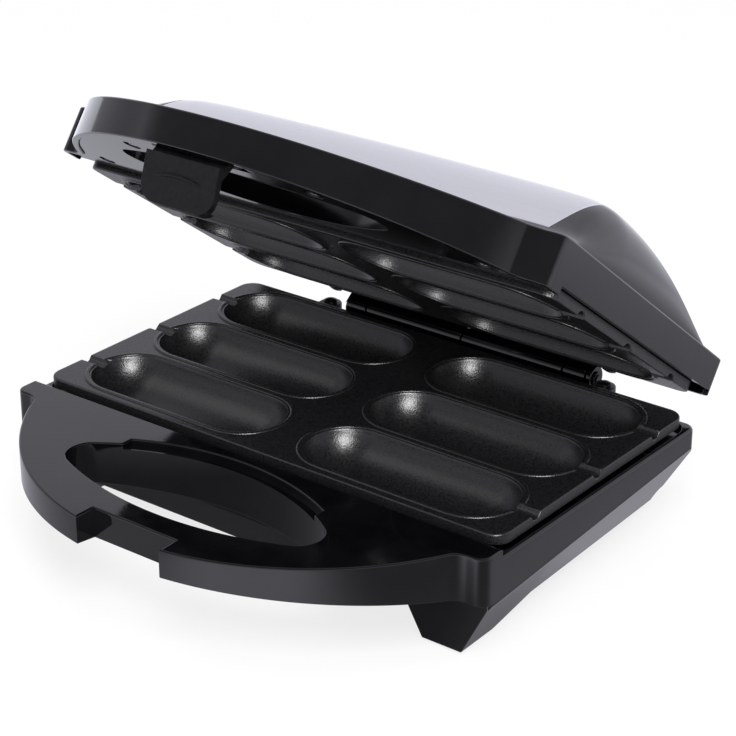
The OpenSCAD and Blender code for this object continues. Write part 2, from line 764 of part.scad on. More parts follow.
// Pin through all the barrels, and the clip on each of its ends
clip_gap = 0.1;
pin_left = barrel_edges[0] + barrel_gap / 2 - clip_gap - clip_t;
pin_right = barrel_edges[5] - barrel_gap / 2 + clip_gap + clip_t;
module at_hinge() translate([0, hinge_y, hinge_z]) children();
module hinge_pin() color(steel) stand() at_hinge() bar_x(pin_left - 0.6, pin_right + 0.6, hinge_pin_r);

module hinge_pin_clips() color(steel) stand() at_hinge() difference() {
    for (x = [pin_left, pin_right - clip_t]) bar_x(x, x + clip_t, clip_r);
    bar_x(-far / 2, far / 2, hinge_pin_r + pin_clear);
}

// Side view of what lies under the lid's top, brought down by a thickness
module under_lid_top(t) along_x(-far / 2, far / 2) polygon([
    [handle_front - 1, -far / 4], [lid_rear + 1, -far / 4], [lid_rear + 1, lid_top_z(lid_rear + 1) - t],
    [lid_high_y, lid_high - t], [handle_front - 1, lid_top_z(handle_front - 1) - t]
]);

// Side view of the lid's band: deep in front, shallow beside the plate, and close over the barrels behind
rear_low = hinge_z + barrel_r + barrel_gap;
module above_lid_edge() along_x(-far / 2, far / 2) polygon([
    [handle_front - 1, lid_low], [step_y, lid_low], [step_y, lid_side], [lid_rear - rim_t - 1, lid_side],
    [lid_rear - rim_t - 1, rear_low], [lid_rear + 1, rear_low], [lid_rear + 1, far / 4],
    [handle_front - 1, far / 4]
]);

// Lid's moulded rim: front cover over the handle, side bands, plate ledge and moving barrels
lug_seat = plates_apart + lug_drop + lug_t;
module lid_frame() color(gloss_black) lid_pose() difference() {
    union() {
        difference() {
            intersection() {
                between(-far / 2, far / 2) housing_plan(0, lid_rear);
                above_lid_edge();
                under_lid_top(0);
            }
            intersection() {
                between(-far / 2, far / 2) lid_hollow();
                under_lid_top(deck_t);
            }
            intersection() {
                between(-far / 2, far / 2) round_box(ledge_in_hw, ledge_in_front, ledge_in_rear, 5, 5);
                under_lid_top(deck_t);
            }
            between(-far / 2, far / 2)
                round_box(ledge_in_hw, ledge_in_front, dome_back - deck_under_dome, 5, 5);
        }
        intersection() {
            union() {
                between(upper_back, far / 4) ledge_plan();
                for (p = lug_at) translate([p[0], p[1], lug_seat]) cylinder(h = far / 4, r = lug_r - 0.4);
                for (p = cover_screw_at) translate([p[0], p[1], cover_seat + cover_t])
                    cylinder(h = far / 4, r = boss_r);
                mirrored() latch_ear();
            }
            under_lid_top(deck_t / 2);
            between(-far / 2, far / 2) housing_plan(wall / 2, lid_rear);
        }
        for (i = lid_barrels) barrel(i) polygon([
            [hinge_y - barrel_r, hinge_z], [hinge_y, hinge_z + barrel_r], [lid_rear, lid_side + 7],
            [lid_rear - rim_t, lid_side + 7], [lid_rear - rim_t, lid_side]
        ]);
    }
    for (p = lug_at) translate([p[0] - lug_r - 0.6, plate_d - 2, lug_seat - far / 2])
        cube([2 * lug_r + 1.2, far / 4, far / 2]);
    for (p = lug_at) translate([p[0], p[1], 0])
        cylinder(h = lug_seat + boss_depth, r = screw_r + screw_clear);
    for (p = cover_screw_at) translate([p[0], p[1], 0])
        cylinder(h = cover_seat + cover_t + boss_depth, r = screw_r + screw_clear);
    at_hinge() bar_x(-far / 2, far / 2, hinge_pin_r + pin_clear);
    translate([0, latch_y, latch_pivot])
        bar_x(-ear_x - ear_t - eps, ear_x + ear_t + eps, latch_pin_r + pin_clear);
    for (x = light_x) at_light(x) cylinder(h = far / 4, r = light_r + 0.1, center = true);
}

// Space inside the lid's bands, in front of the plate and around it
module lid_hollow() {
    round_box(housing_hw - rim_t, pocket_front, lid_rear - rim_t, plate_corner_r, rear_r - rim_t);
    in_front_of(cross_wall) housing_plan(wall, lid_rear);
}

// Ear that carries one end of the latch's pin, hung from the front cover
ear_r = 2.6;
module latch_ear() along_x(ear_x, ear_x + ear_t) {
    translate([latch_y, latch_pivot]) circle(ear_r);
    translate([handle_front, latch_pivot]) square([latch_y + ear_r - handle_front, far / 4]);
}

// Dome: profile from front to back, times a crown with rounded flanks from side to side
dome_crown = 0.06;
dome_square = 17;
dome_swell = 1.35;
dome_square_rear = 5;
function dome_run(y) = y < dome_crest
    ? 1 - pow(1 - pow(max(0, (y - dome_front) / (dome_crest - dome_front)), dome_swell), 2)
    : dome_tail((y - dome_crest) / (dome_back - dome_crest));
function dome_tail(v) = (1 - dome_fall * v * v) * sqrt(max(0, 1 - pow(v, dome_square_rear)));
function dome_across(u) = (1 - dome_crown * u * u) * sqrt(max(0, 1 - pow(abs(u), dome_square)));
function dome_z(x, y) = lid_top_z(y) + dome_rise * dome_run(y) * dome_across(x / dome_hw);

// Grid lines of the dome: even under the panel, closing up towards the flanks and the ends
flank_steps = 6;
panel_steps = 14;
function closing(from, to, n) = [for (i = [0 : n]) from + (to - from) * sin(90 * i / n)];
function even(from, to, n) = [for (i = [0 : n]) from + (to - from) * i / n];
function reversed(list) = [for (i = [len(list) - 1 : -1 : 0]) list[i]];
flank_x = closing(panel_hw + panel_gap, dome_hw, flank_steps);
panel_x = even(-panel_hw, panel_hw, panel_steps);
grid_x = concat(-1 * reversed(flank_x), panel_x, flank_x);
front_y_lines = even(dome_front, panel_front - panel_gap, 3);
panel_y_lines = even(panel_front, panel_rear, 18);
rear_y_lines = closing(panel_rear + panel_gap, dome_back, flank_steps);
grid_y = concat(front_y_lines, panel_y_lines, rear_y_lines);

function on_panel(x, y) = abs(x) <= panel_hw && y >= panel_front && y <= panel_rear;

// Closed sheet between an upper and a lower grid of points, each n by m
module sheet(upper, lower, n, m) {
    function at(i, j) = i * m + j;
    border = concat(
        [for (i = [0 : n - 2]) at(i, 0)], [for (j = [0 : m - 2]) at(n - 1, j)],
        [for (i = [n - 1 : -1 : 1]) at(i, m - 1)], [for (j = [m - 1 : -1 : 1]) at(0, j)]
    );
    count = n * m;
    polyhedron(
        points = concat(upper, lower),
        faces = concat(
            [for (i = [0 : n - 2], j = [0 : m - 2]) each [
                [at(i, j), at(i, j + 1), at(i + 1, j)], [at(i + 1, j), at(i, j + 1), at(i + 1, j + 1)]
            ]],
            [for (i = [0 : n - 2], j = [0 : m - 2]) each [
                [count + at(i, j), count + at(i + 1, j), count + at(i, j + 1)],
                [count + at(i + 1, j), count + at(i + 1, j + 1), count + at(i, j + 1)]
            ]],
            [for (k = [0 : len(border) - 1]) let (p = border[k], q = border[(k + 1) % len(border)]) each [
                [p, q, count + p], [q, count + q, count + p]
            ]]
        )
    );
}

// Inside of the dome: the same grid, drawn in by a wall
inner_hw = dome_hw - dome_wall;
inner_front = dome_front + dome_wall;
shrink_y = (dome_back - dome_wall - inner_front) / (dome_back - dome_front);
inner_share = 1 - 1.4 * dome_wall / dome_rise;
function inner_y(y) = inner_front + (y - dome_front) * shrink_y;
function inner_z(x, y) = lid_top_z(inner_y(y)) + (dome_z(x, y) - lid_top_z(y)) * inner_share;

module lid_dome() color(gloss_black) lid_pose() sheet(
    [for (x = grid_x, y = grid_y) [x, y, dome_z(x, y) - (on_panel(x, y) ? panel_t : 0)]],
    [for (x = grid_x, y = grid_y) [x * inner_hw / dome_hw, inner_y(y), inner_z(x, y)]],
    len(grid_x), len(grid_y)
);

module steel_panel() color(steel) lid_pose() sheet(
    [for (x = panel_x, y = panel_y_lines) [x, y, dome_z(x, y)]],
    [for (x = panel_x, y = panel_y_lines) [x, y, dome_z(x, y) - panel_t]],
    len(panel_x), len(panel_y_lines)
);

// Panel that closes the lid's front from below, with a pocket for the fingers
cover_margin = wall + cover_clear;
module cover_plan() difference() {
    in_front_of(cross_wall - cover_clear) housing_plan(cover_margin, lid_rear);
    translate([-ear_x - ear_t - 0.4, handle_front]) square([2 * (ear_x + ear_t + 0.4), notch_d + 3]);
}
module lid_inner_cover() color(gloss_black) lid_pose() difference() {
    union() {
        between(cover_z, cover_z + cover_t) cover_plan();
        between(cover_z, cover_z + pocket_d + cover_t) finger_hole(cover_t);
        for (p = cover_screw_at) translate([p[0], p[1], cover_z])
            cylinder(h = cover_seat + cover_t - cover_z, r = well_r + 1.2);
    }
    between(cover_z - 1, cover_z + pocket_d) finger_hole(0);
    for (p = cover_screw_at) translate([p[0], p[1], 0]) {
        cylinder(h = far, r = screw_r + screw_clear, center = true);
        cylinder(h = 2 * cover_seat, r = well_r, center = true);
    }
}

module lid_cover_screws() color(bright_metal) lid_pose() for (p = cover_screw_at)
    translate([p[0], p[1], cover_seat]) mirror([0, 0, 1]) screw(cover_t + boss_depth - 0.5);

module upper_plate() color(plate_black) lid_pose() turned_over() cooking_plate();

module upper_plate_screws() color(bright_metal) lid_pose() turned_over() lug_screws();

module upper_heater() color([0.35, 0.33, 0.32]) lid_pose() turned_over() heater();

module upper_reflector() color(bright_metal) lid_pose() turned_over() reflector();

module upper_cutout() color(cream) lid_pose() turned_over()
    translate([0, plate_d / 2, tray_z - sheet_t]) snap_switch();

// Round lamp windows let into the top of the lid's front
light_r = 3.2;
light_x = [-11, 11];
light_y = -40;
module at_light(x) translate([x, light_y, lid_top_z(light_y)]) rotate([deck_tilt, 0, 0]) children();
module light(x) lid_pose() at_light(x) translate([0, 0, -deck_t]) {
    cylinder(h = deck_t + 0.8, r = light_r);
    translate([0, 0, -1.2]) cylinder(h = 1.2, r = light_r + 1.2);
}

module power_light() color([0.8, 0.1, 0.08]) light(light_x[0]);

module ready_light() color([0.15, 0.6, 0.2]) light(light_x[1]);

module latch_pin() color(steel) lid_pose() translate([0, latch_y, latch_pivot])
    bar_x(-ear_x - ear_t, ear_x + ear_t, latch_pin_r);

// Front view of the latch: straight sides and a rounded foot
tab_corner = 7;
module latch_front_view() {
    height = latch_drop + latch_pivot + latch_barrel_r;
    translate([-latch_hw, -latch_drop + tab_corner]) square([2 * latch_hw, height - tab_corner]);
    translate([-latch_hw + tab_corner, -latch_drop]) square([2 * (latch_hw - tab_corner), height]);
    for (s = [-1, 1]) translate([s * (latch_hw - tab_corner), -latch_drop + tab_corner]) circle(tab_corner);
}

// Side view of the latch: a slanted tab under the lid's edge, an arm up to its barrel and a lip below
tab_top_y = handle_front + 0.4;
tab_top_z = lid_low - 2.8;
tab_across = latch_t / cos(latch_slant);
function tab_y(z) = tab_top_y + (tab_top_z - z) * tan(latch_slant);
arm_low = tab_top_z - 3.6;
arm_y = latch_y - latch_barrel_r + 0.3;
lip_t = 2;
lip_y = tab_y(-latch_drop) + tab_across + latch_lip;
module latch_side_view() {
    polygon([
        [tab_y(tab_top_z), tab_top_z], [tab_y(-latch_drop), -latch_drop], [lip_y, -latch_drop],
        [lip_y, -latch_drop + lip_t], [tab_y(-latch_drop + lip_t) + tab_across, -latch_drop + lip_t],
        [tab_y(arm_low) + tab_across, arm_low], [latch_y + latch_barrel_r - 0.1, latch_pivot],
        [arm_y, latch_pivot], [arm_y, lid_low], [tab_top_y + tab_across, tab_top_z]
    ]);
    translate([latch_y, latch_pivot]) circle(latch_barrel_r);
}

// Latch that hangs into the handle's notch, with a lip that catches under the handle
module latch() color([0.07, 0.07, 0.075]) lid_pose() difference() {
    intersection() {
        along_x(-latch_hw, latch_hw) latch_side_view();
        along_y(-far / 2, far / 2) latch_front_view();
    }
    translate([0, latch_y, latch_pivot]) bar_x(-far / 2, far / 2, latch_pin_r + pin_clear);
}

base_frame();
base_tub();
foot_pads();
lower_plate();
lower_plate_screws();
lower_heater();
lower_reflector();
thermostat();
thermal_fuse();
terminal_block();
cord_gland();
base_screws();
hinge_pin();
hinge_pin_clips();
lid_frame();
lid_dome();
steel_panel();
lid_inner_cover();
lid_cover_screws();
upper_plate();
upper_plate_screws();
upper_heater();
upper_reflector();
upper_cutout();
power_light();
ready_light();
latch_pin();
latch();
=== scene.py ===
import math

import bmesh
import bpy
import numpy as np
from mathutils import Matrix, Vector
from mathutils.geometry import delaunay_2d_cdt


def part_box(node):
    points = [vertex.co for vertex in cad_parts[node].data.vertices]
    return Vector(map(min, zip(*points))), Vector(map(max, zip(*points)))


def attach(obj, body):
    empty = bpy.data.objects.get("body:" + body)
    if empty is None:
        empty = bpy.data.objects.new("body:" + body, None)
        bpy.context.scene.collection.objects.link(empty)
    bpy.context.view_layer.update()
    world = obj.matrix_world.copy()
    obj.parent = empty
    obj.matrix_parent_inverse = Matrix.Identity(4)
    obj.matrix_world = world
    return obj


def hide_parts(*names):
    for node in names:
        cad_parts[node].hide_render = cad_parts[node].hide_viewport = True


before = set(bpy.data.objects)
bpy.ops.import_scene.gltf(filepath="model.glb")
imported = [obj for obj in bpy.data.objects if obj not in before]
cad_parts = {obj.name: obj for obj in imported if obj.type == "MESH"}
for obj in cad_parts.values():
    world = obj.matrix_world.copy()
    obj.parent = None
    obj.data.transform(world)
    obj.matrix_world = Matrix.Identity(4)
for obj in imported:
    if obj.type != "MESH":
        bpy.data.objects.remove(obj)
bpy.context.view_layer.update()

# Camera: a product shot from the front right and a little above, through a long lens.
# Lengths are millimetres from the middle of the lower plate's front edge, with its face as height zero.
FACE_HEIGHT = 46.0
PLATE_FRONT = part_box("lower_plate")[0][1] * 1000.0
CAMERA_AT = (518.7, -600.7, 398.4)
CAMERA_ROUND, CAMERA_ABOVE = math.radians(37.713), math.radians(24.617)
CAMERA_LENS, CAMERA_SENSOR = 112.35, 36.0


def in_frame(points):
    """Millimetres from the plate's front edge and face as metres in the shared frame."""
    return (np.asarray(points, float) + (0.0, PLATE_FRONT, FACE_HEIGHT)) / 1000.0


camera = bpy.data.objects.new("camera", bpy.data.cameras.new("camera"))
camera.data.sensor_width = CAMERA_SENSOR
camera.data.lens = CAMERA_LENS
camera.data.clip_end = 50.0
camera.location = in_frame(CAMERA_AT)
to_camera = Vector((
    math.sin(CAMERA_ROUND) * math.cos(CAMERA_ABOVE),
    -math.cos(CAMERA_ROUND) * math.cos(CAMERA_ABOVE),
    math.sin(CAMERA_ABOVE),
))
camera.rotation_euler = (-to_camera).to_track_quat("-Z", "Y").to_euler()
scene = bpy.context.scene
scene.collection.objects.link(camera)
scene.camera = camera
scene.view_settings.view_transform = "Standard"

# Room: white walls, which the camera sees as plain white and the gloss of the housings shows a little cool.
# In the gloss they are darker above the camera and at both sides, and brighter behind the object.
WHITE, COOL_WHITE = (1.0, 1.0, 1.0), (0.90, 0.90, 1.0)
ROOM_DARKENING, ROOM_FILL = 0.72, 0.55


def add_node(tree, kind, **values):
    """Adds a node and sets its sockets by name."""
    node = tree.nodes.new(kind)
    for key, value in values.items():
        node.inputs[key].default_value = value
    return node


def math_node(tree, operation, first, *others):
    """Chains Math nodes over sockets or numbers; gives the last output socket."""
    for other in others:
        node = tree.nodes.new("ShaderNodeMath")
        node.operation = operation
        for socket, value in zip(node.inputs, (first, other)):
            if isinstance(value, float):
                socket.default_value = value
            else:
                tree.links.new(value, socket)
        first = node.outputs[0]
    return first


def ramp_node(tree, value, from_min, from_max, to_min, to_max):
    """A smooth Map Range of a socket; gives its output socket."""
    ends = {"From Min": from_min, "From Max": from_max, "To Min": to_min, "To Max": to_max}
    node = add_node(tree, "ShaderNodeMapRange", **ends)
    node.interpolation_type = "SMOOTHSTEP"
    tree.links.new(value, node.inputs["Value"])
    return node.outputs["Result"]


def colour_node(tree, factor, first, second):
    """A Mix node from one colour to another; gives its output socket."""
    node = tree.nodes.new("ShaderNodeMix")
    node.data_type = "RGBA"
    node.inputs["A"].default_value = (*first, 1.0)
    node.inputs["B"].default_value = (*second, 1.0)
    tree.links.new(factor, node.inputs["Factor"])
    return node.outputs["Result"]


def ray_kinds(tree):
    """Sockets that are one for rays of the camera, of gloss and of clear material."""
    rays = tree.nodes.new("ShaderNodeLightPath")
    return (rays.outputs[f"Is {kind} Ray"] for kind in ("Camera", "Glossy", "Transmission"))


world = bpy.data.worlds.new("studio")
world.use_nodes = True
scene.world = world
room = world.node_tree
room.nodes.clear()
by_camera, by_gloss, by_clear = ray_kinds(room)
coords = room.nodes.new("ShaderNodeTexCoord")
aim = room.nodes.new("ShaderNodeSeparateXYZ")
room.links.new(coords.outputs["Generated"], aim.inputs[0])
aim_x, aim_y, aim_z = (aim.outputs[axis] for axis in "XYZ")
overhead = math_node(
    room, "MULTIPLY",
    ramp_node(room, aim_z, 0.30, 0.47, 0.0, 1.0), ramp_node(room, aim_y, -0.35, 0.30, 1.0, 0.25),
)
to_right = math_node(
    room, "MULTIPLY",
    ramp_node(room, aim_x, 0.35, 0.70, 0.0, 1.0), ramp_node(room, aim_z, 0.05, 0.25, 0.0, 1.0),
    ramp_node(room, aim_y, -0.10, 0.70, 1.0, 0.0),
)
to_left = ramp_node(room, aim_x, -0.98, -0.85, 0.65, 0.0)
behind = math_node(
    room, "MULTIPLY",
    ramp_node(room, aim_y, 0.50, 0.80, 0.0, 0.25), ramp_node(room, aim_x, -0.30, 0.0, 0.0, 1.0),
)
darkest = math_node(room, "MAXIMUM", overhead, to_right, to_left)
darkened = math_node(room, "MULTIPLY", darkest, ROOM_DARKENING)
level = math_node(room, "SUBTRACT", math_node(room, "ADD", behind, 1.0), darkened)
in_gloss = math_node(room, "MULTIPLY", by_gloss, level)
plain = math_node(room, "MAXIMUM", by_camera, by_clear)
rest = math_node(room, "SUBTRACT", 1.0, math_node(room, "MAXIMUM", plain, by_gloss))
walls = add_node(room, "ShaderNodeBackground")
room.links.new(colour_node(room, by_gloss, WHITE, COOL_WHITE), walls.inputs["Color"])
strength = math_node(room, "ADD", plain, in_gloss, math_node(room, "MULTIPLY", rest, ROOM_FILL))
room.links.new(strength, walls.inputs["Strength"])
room.links.new(walls.outputs[0], room.nodes.new("ShaderNodeOutputWorld").inputs["Surface"])

# Floor: a sheet of matt white paper that keeps the object's shadow and looks nearly white to the camera.
# In the gloss it glows a little cool, with painted spots: painted shadow round and under the object and at
# its front right, painted light at its front left, behind it and farther out, and a broad painted dimming
# behind it to the right, farther off.
FLOOR_HALF, FLOOR_Z, FLOOR_LIFT = 14.0, -0.0002, 0.80
PAPER_DARK, PAPER_LIGHT = (0.93, 0.93, 0.94), (0.96, 0.96, 0.96)
# Each painted spot (painted shade where its level is below one, painted light where it is above): its middle,
# the distances between which it fades, and its levels inside and outside.
PAINTED_FLOOR_SPOTS = (
    ((0.05, 0.10), (0.28, 0.60), (0.60, 1.5)),
    ((0.07, -0.18), (0.03, 0.11), (2.9, 1.0)),
    ((0.19, -0.10), (0.04, 0.11), (0.55, 1.0)),
    ((0.0, -0.03), (0.09, 0.13), (0.30, 1.0)),
    ((0.22, 0.40), (0.03, 0.20), (1.75, 1.0)),
    ((1.5, 4.0), (3.60, 3.95), (0.83, 1.0)),
)


def painted_floor_spot(tree, position, middle, fade, levels):
    """A round painted spot on the floor with a soft edge, painted shade below one and painted light above, as
    a socket that holds its level.
    """
    reach = tree.nodes.new("ShaderNodeVectorMath")
    reach.operation = "DISTANCE"
    reach.inputs[1].default_value = (*middle, 0.0)
    tree.links.new(position, reach.inputs[0])
    return ramp_node(tree, reach.outputs["Value"], *fade, *levels)


paper = bpy.data.materials.new("paper")
paper.use_nodes = True
sheet = paper.node_tree
sheet.nodes.clear()
by_camera, by_gloss, by_clear = ray_kinds(sheet)
grain = add_node(sheet, "ShaderNodeTexNoise", Scale=30.0, Detail=2.0)
matt = sheet.nodes.new("ShaderNodeBsdfDiffuse")
sheet.links.new(colour_node(sheet, grain.outputs["Fac"], PAPER_DARK, PAPER_LIGHT), matt.inputs["Color"])
position = sheet.nodes.new("ShaderNodeNewGeometry").outputs["Position"]
# Painted light and shade: the spots, multiplied together, set how bright the floor glows for gloss rays.
painted_light_and_shade = math_node(sheet, "MULTIPLY", *(painted_floor_spot(sheet, position, *spot) for spot in PAINTED_FLOOR_SPOTS))
glow_and_painted_spots = sheet.nodes.new("ShaderNodeEmission")
sheet.links.new(colour_node(sheet, by_gloss, WHITE, COOL_WHITE), glow_and_painted_spots.inputs["Color"])
strength = math_node(
    sheet, "ADD", math_node(sheet, "MULTIPLY", painted_light_and_shade, by_gloss), math_node(sheet, "SUBTRACT", 1.0, by_gloss)
)
sheet.links.new(strength, glow_and_painted_spots.inputs["Strength"])
lifted = math_node(sheet, "MULTIPLY", by_camera, FLOOR_LIFT)
mixed = sheet.nodes.new("ShaderNodeMixShader")
sheet.links.new(math_node(sheet, "MAXIMUM", by_gloss, by_clear, lifted), mixed.inputs["Fac"])
sheet.links.new(matt.outputs[0], mixed.inputs[1])
sheet.links.new(glow_and_painted_spots.outputs[0], mixed.inputs[2])
sheet.links.new(mixed.outputs[0], sheet.nodes.new("ShaderNodeOutputMaterial").inputs["Surface"])
floor_mesh = bpy.data.meshes.new("floor")
floor_corners = [(x * FLOOR_HALF, y * FLOOR_HALF, FLOOR_Z) for x, y in ((-1, -1), (1, -1), (1, 1), (-1, 1))]
floor_mesh.from_pydata(floor_corners, [], [(0, 1, 2, 3)])
floor_mesh.materials.append(paper)
floor = bpy.data.objects.new("floor", floor_mesh)
scene.collection.objects.link(floor)

# Soft boxes: one in front and one overhead light everything without showing in the gloss. Three more light
# the two cooking plates alone and make the highlights in their cavities; plates_lit collects the plates.
PLATE_BOXES = ("box_plates", "box_low", "box_side")
BOXES_AIM = (0.0, 0.0, 0.08)

plates_lit = bpy.data.collections.new("plates_lit")
for name, at, size, watts in (
    ("box_key", (0.78, -0.85, 1.38), (0.8, 0.8), 27.0),
    ("box_top", (-0.3, 0.2, 2.2), (1.6, 1.6), 12.0),
    ("box_plates", (1.10, -0.95, 0.85), (0.8, 0.8), 62.0),
    ("box_low", (0.75, -1.05, 0.14), (0.5, 0.2), 9.0),
    ("box_side", (-0.78, -0.64, 1.14), (0.9, 0.9), 3.5),
):
    box = bpy.data.objects.new(name, bpy.data.lights.new(name, "AREA"))
    if name in PLATE_BOXES:
        box.light_linking.receiver_collection = plates_lit
    else:
        box.visible_glossy = False
    box.data.shape = "RECTANGLE"
    box.data.size, box.data.size_y = size
    box.data.energy = watts
    box.location = at
    box.rotation_euler = (Vector(BOXES_AIM) - Vector(at)).to_track_quat("-Z", "Y").to_euler()
    box.visible_camera = False
    scene.collection.objects.link(box)

# Base frame: the upper half of the base, one gloss black moulding with the bowed handle, its finger hole
# and latch notch, the rim round the plate and the fixed hinge barrels. Injection moulded, screwed from below.
HALF_W = 117.5
HANDLE_FRONT, HANDLE_R, HANDLE_Y = -80.4, 118.006, 37.606
HOLLOW_X, HOLLOW_Y, HOLLOW_R = 110.15, -21.5, 7.0
SHOULDER, FRONT_R, REAR_R = -14.5, 4.5, 5.0
BASE_REAR, STEP_Y = 133.9, -3.0
DECK_Z, RIM_Z = -1.9, -5.5
BAND_BEND_Y, BAND_FRONT_Z, BAND_BEND_Z, BAND_REAR_Z = -7.0, -13.2, -22.7, -14.0
BAND_CREASE_HW = 116.5
NOTCH_HW, NOTCH_Y = 20.4, -69.4
HOLE_FRONT, HOLE_FRONT_R = -58.5, 140.0
HOLE_REAR, HOLE_REAR_R = -12.0, 100.0
HOLE_TIP_X, HOLE_TIP_Y, HOLE_TIP_R = 51.44, -38.01, 9.9
LEDGE_Z, LEDGE_W, LEDGE_HW = -4.3, 4.5, 48.0
TONGUE_IN, TONGUE_D = 0.3, 3.0
POCKET_HW, POCKET_FRONT, POCKET_REAR, POCKET_R = 115.0, -1.0, 131.4, 8.0
SEAT_OUTER, SEAT_INNER = (116.0, -1.6, 132.0), (106.4, 3.5, 126.9)
SEAT_LOW, SEAT_TOP, SEAT_INNER_R = -10.4, -8.0, 5.0
HINGE_Y, HINGE_Z, BARREL_R, BARREL_PLAY = 140.5, -2.35, 5.4, 0.35
BARREL_EDGES = (-63.4, -52.0, -0.6, 51.2, 62.6, 65.4)
BASE_BARRELS, WEB_HW = (1, 2, 4), 4.0
LUG_X, LUG_Y = 71.8, 135.8
SHELF_TOP, SHELF_T, SHELF_OUT, SHELF_D = HINGE_Z - BARREL_R - 1.2, 4.0, 6.5, 3.0
BOSS_R, BOSS_TOP = 4.6, -5.0


def arc(centre, radius, start, stop, count):
    """Points on an arc from one angle to another, in degrees, without the last one."""
    a = np.radians(np.linspace(start, stop, count, endpoint=False))
    return np.column_stack([centre[0] + radius * np.cos(a), centre[1] + radius * np.sin(a)])


def line(p, q, count):
    """Points on a line, without the last one."""
    t = np.linspace(0.0, 1.0, count, endpoint=False)[:, None]
    return np.asarray(p, float) * (1 - t) + np.asarray(q, float) * t


def half_outline(rear, breaks):
    """Right half of a housing's plan, from the handle's front to the middle of its back."""
    meet = math.degrees(math.atan2(HOLLOW_Y - HANDLE_Y, HOLLOW_X))
    side = [SHOULDER + FRONT_R, *breaks, rear - REAR_R]
    parts = [
        arc((0.0, HANDLE_Y), HANDLE_R, -90.0, meet, 72),
        arc((HOLLOW_X, HOLLOW_Y), HOLLOW_R, 180.0 + meet, 90.0, 10),
        line((HOLLOW_X, SHOULDER), (HALF_W - FRONT_R, SHOULDER), 2),
        arc((HALF_W - FRONT_R, SHOULDER + FRONT_R), FRONT_R, -90.0, 0.0, 8),
    ]
    parts += [line((HALF_W, a), (HALF_W, b), 2) for a, b in zip(side, side[1:])]
    parts += [
        arc((HALF_W - REAR_R, rear - REAR_R), REAR_R, 0.0, 90.0, 10),
        line((HALF_W - REAR_R, rear), (0.0, rear), 8),
    ]
    return np.concatenate(parts)


def outline(rear, breaks):
    """Whole plan of a housing, anticlockwise from the handle's front."""
    half = half_outline(rear, breaks)
    return np.concatenate([half, [[0.0, rear]], half[:0:-1] * (-1, 1)])


def finger_hole(ledge=False):
    """Finger hole's outline, anticlockwise; with its ledge let in, or without."""
    front, rear = (0.0, HOLE_FRONT + HOLE_FRONT_R), (0.0, HOLE_REAR - HOLE_REAR_R)
    a = math.degrees(math.atan2(HOLE_TIP_Y - front[1], HOLE_TIP_X))
    b = math.degrees(math.atan2(HOLE_TIP_Y - rear[1], HOLE_TIP_X))
    c = math.degrees(math.acos(LEDGE_HW / HOLE_REAR_R))
    parts = [
        arc(front, HOLE_FRONT_R, -180.0 - a, a, 60),
        arc((HOLE_TIP_X, HOLE_TIP_Y), HOLE_TIP_R, a, b, 20),
        arc(rear, HOLE_REAR_R, b, c, 6),
    ]
    if ledge:
        deep = HOLE_REAR_R + LEDGE_W
        d = math.degrees(math.acos(LEDGE_HW / deep))
        parts += [arc(rear, HOLE_REAR_R, c, 90.0, 1), arc(rear, deep, d, 180.0 - d, 50)]
        parts += [arc(rear, deep, 180.0 - d, 180.0, 1)]
    else:
        parts += [arc(rear, HOLE_REAR_R, c, 180.0 - c, 50)]
    parts += [
        arc(rear, HOLE_REAR_R, 180.0 - c, 180.0 - b, 6),
        arc((-HOLE_TIP_X, HOLE_TIP_Y), HOLE_TIP_R, 180.0 - b, 180.0 - a, 20),
    ]
    return np.concatenate(parts)


def round_rect(hw, front, rear, rf, rr, steps=10):
    """Rectangle about the middle with rounded corners, anticlockwise."""
    return np.concatenate([
        arc((hw - rf, front + rf), rf, -90, 0, steps), line((hw, front + rf), (hw, rear - rr), 4),
        arc((hw - rr, rear - rr), rr, 0, 90, steps), line((hw - rr, rear), (rr - hw, rear), 6),
        arc((rr - hw, rear - rr), rr, 90, 180, steps), line((-hw, rear - rr), (-hw, front + rf), 4),
        arc((rf - hw, front + rf), rf, 180, 270, steps), line((rf - hw, front), (hw - rf, front), 6),
    ])


def inward(loop, d):
    """A closed loop moved to its left by d, with mitred corners."""
    p = np.asarray(loop, float)
    a, b = p - np.roll(p, 1, 0), np.roll(p, -1, 0) - p
    na = np.column_stack([-a[:, 1], a[:, 0]]) / np.linalg.norm(a, axis=1)[:, None]
    nb = np.column_stack([-b[:, 1], b[:, 0]]) / np.linalg.norm(b, axis=1)[:, None]
    m = na + nb
    m /= np.linalg.norm(m, axis=1)[:, None]
    return p + m * (d / np.maximum((m * na).sum(1), 0.4))[:, None]


def level_at(z):
    """Height as a function of place, from a number or a function."""
    return z if callable(z) else (lambda x, y: np.full_like(x, float(z)))


def low_edge(z, r, steps=4):
    """Rings that round a lower edge, from the underside to the wall."""
    f = level_at(z)
    turn = [math.pi / 2 * k / steps for k in range(steps + 1)]
    return [(r * (1 - math.sin(a)), lambda x, y, a=a: f(x, y) + r * (1 - math.cos(a))) for a in turn]


def top_edge(z, r, steps=4):
    """Rings that round an upper edge, from the wall to the top."""
    f = level_at(z)
    turn = [math.pi / 2 * k / steps for k in range(steps + 1)]
    return [(r * (1 - math.cos(a)), lambda x, y, a=a: f(x, y) - r * (1 - math.sin(a))) for a in turn]


def inside(points, loops):
    """Even-odd test of points against closed loops."""
    hit = np.zeros(len(points), bool)
    x, y = points[:, 0], points[:, 1]
    for loop in loops:
        for (x0, y0), (x1, y1) in zip(loop, np.roll(loop, -1, 0)):
            if y0 != y1:
                hit ^= ((y0 > y) != (y1 > y)) & (x < (x1 - x0) * (y - y0) / (y1 - y0) + x0)
    return hit


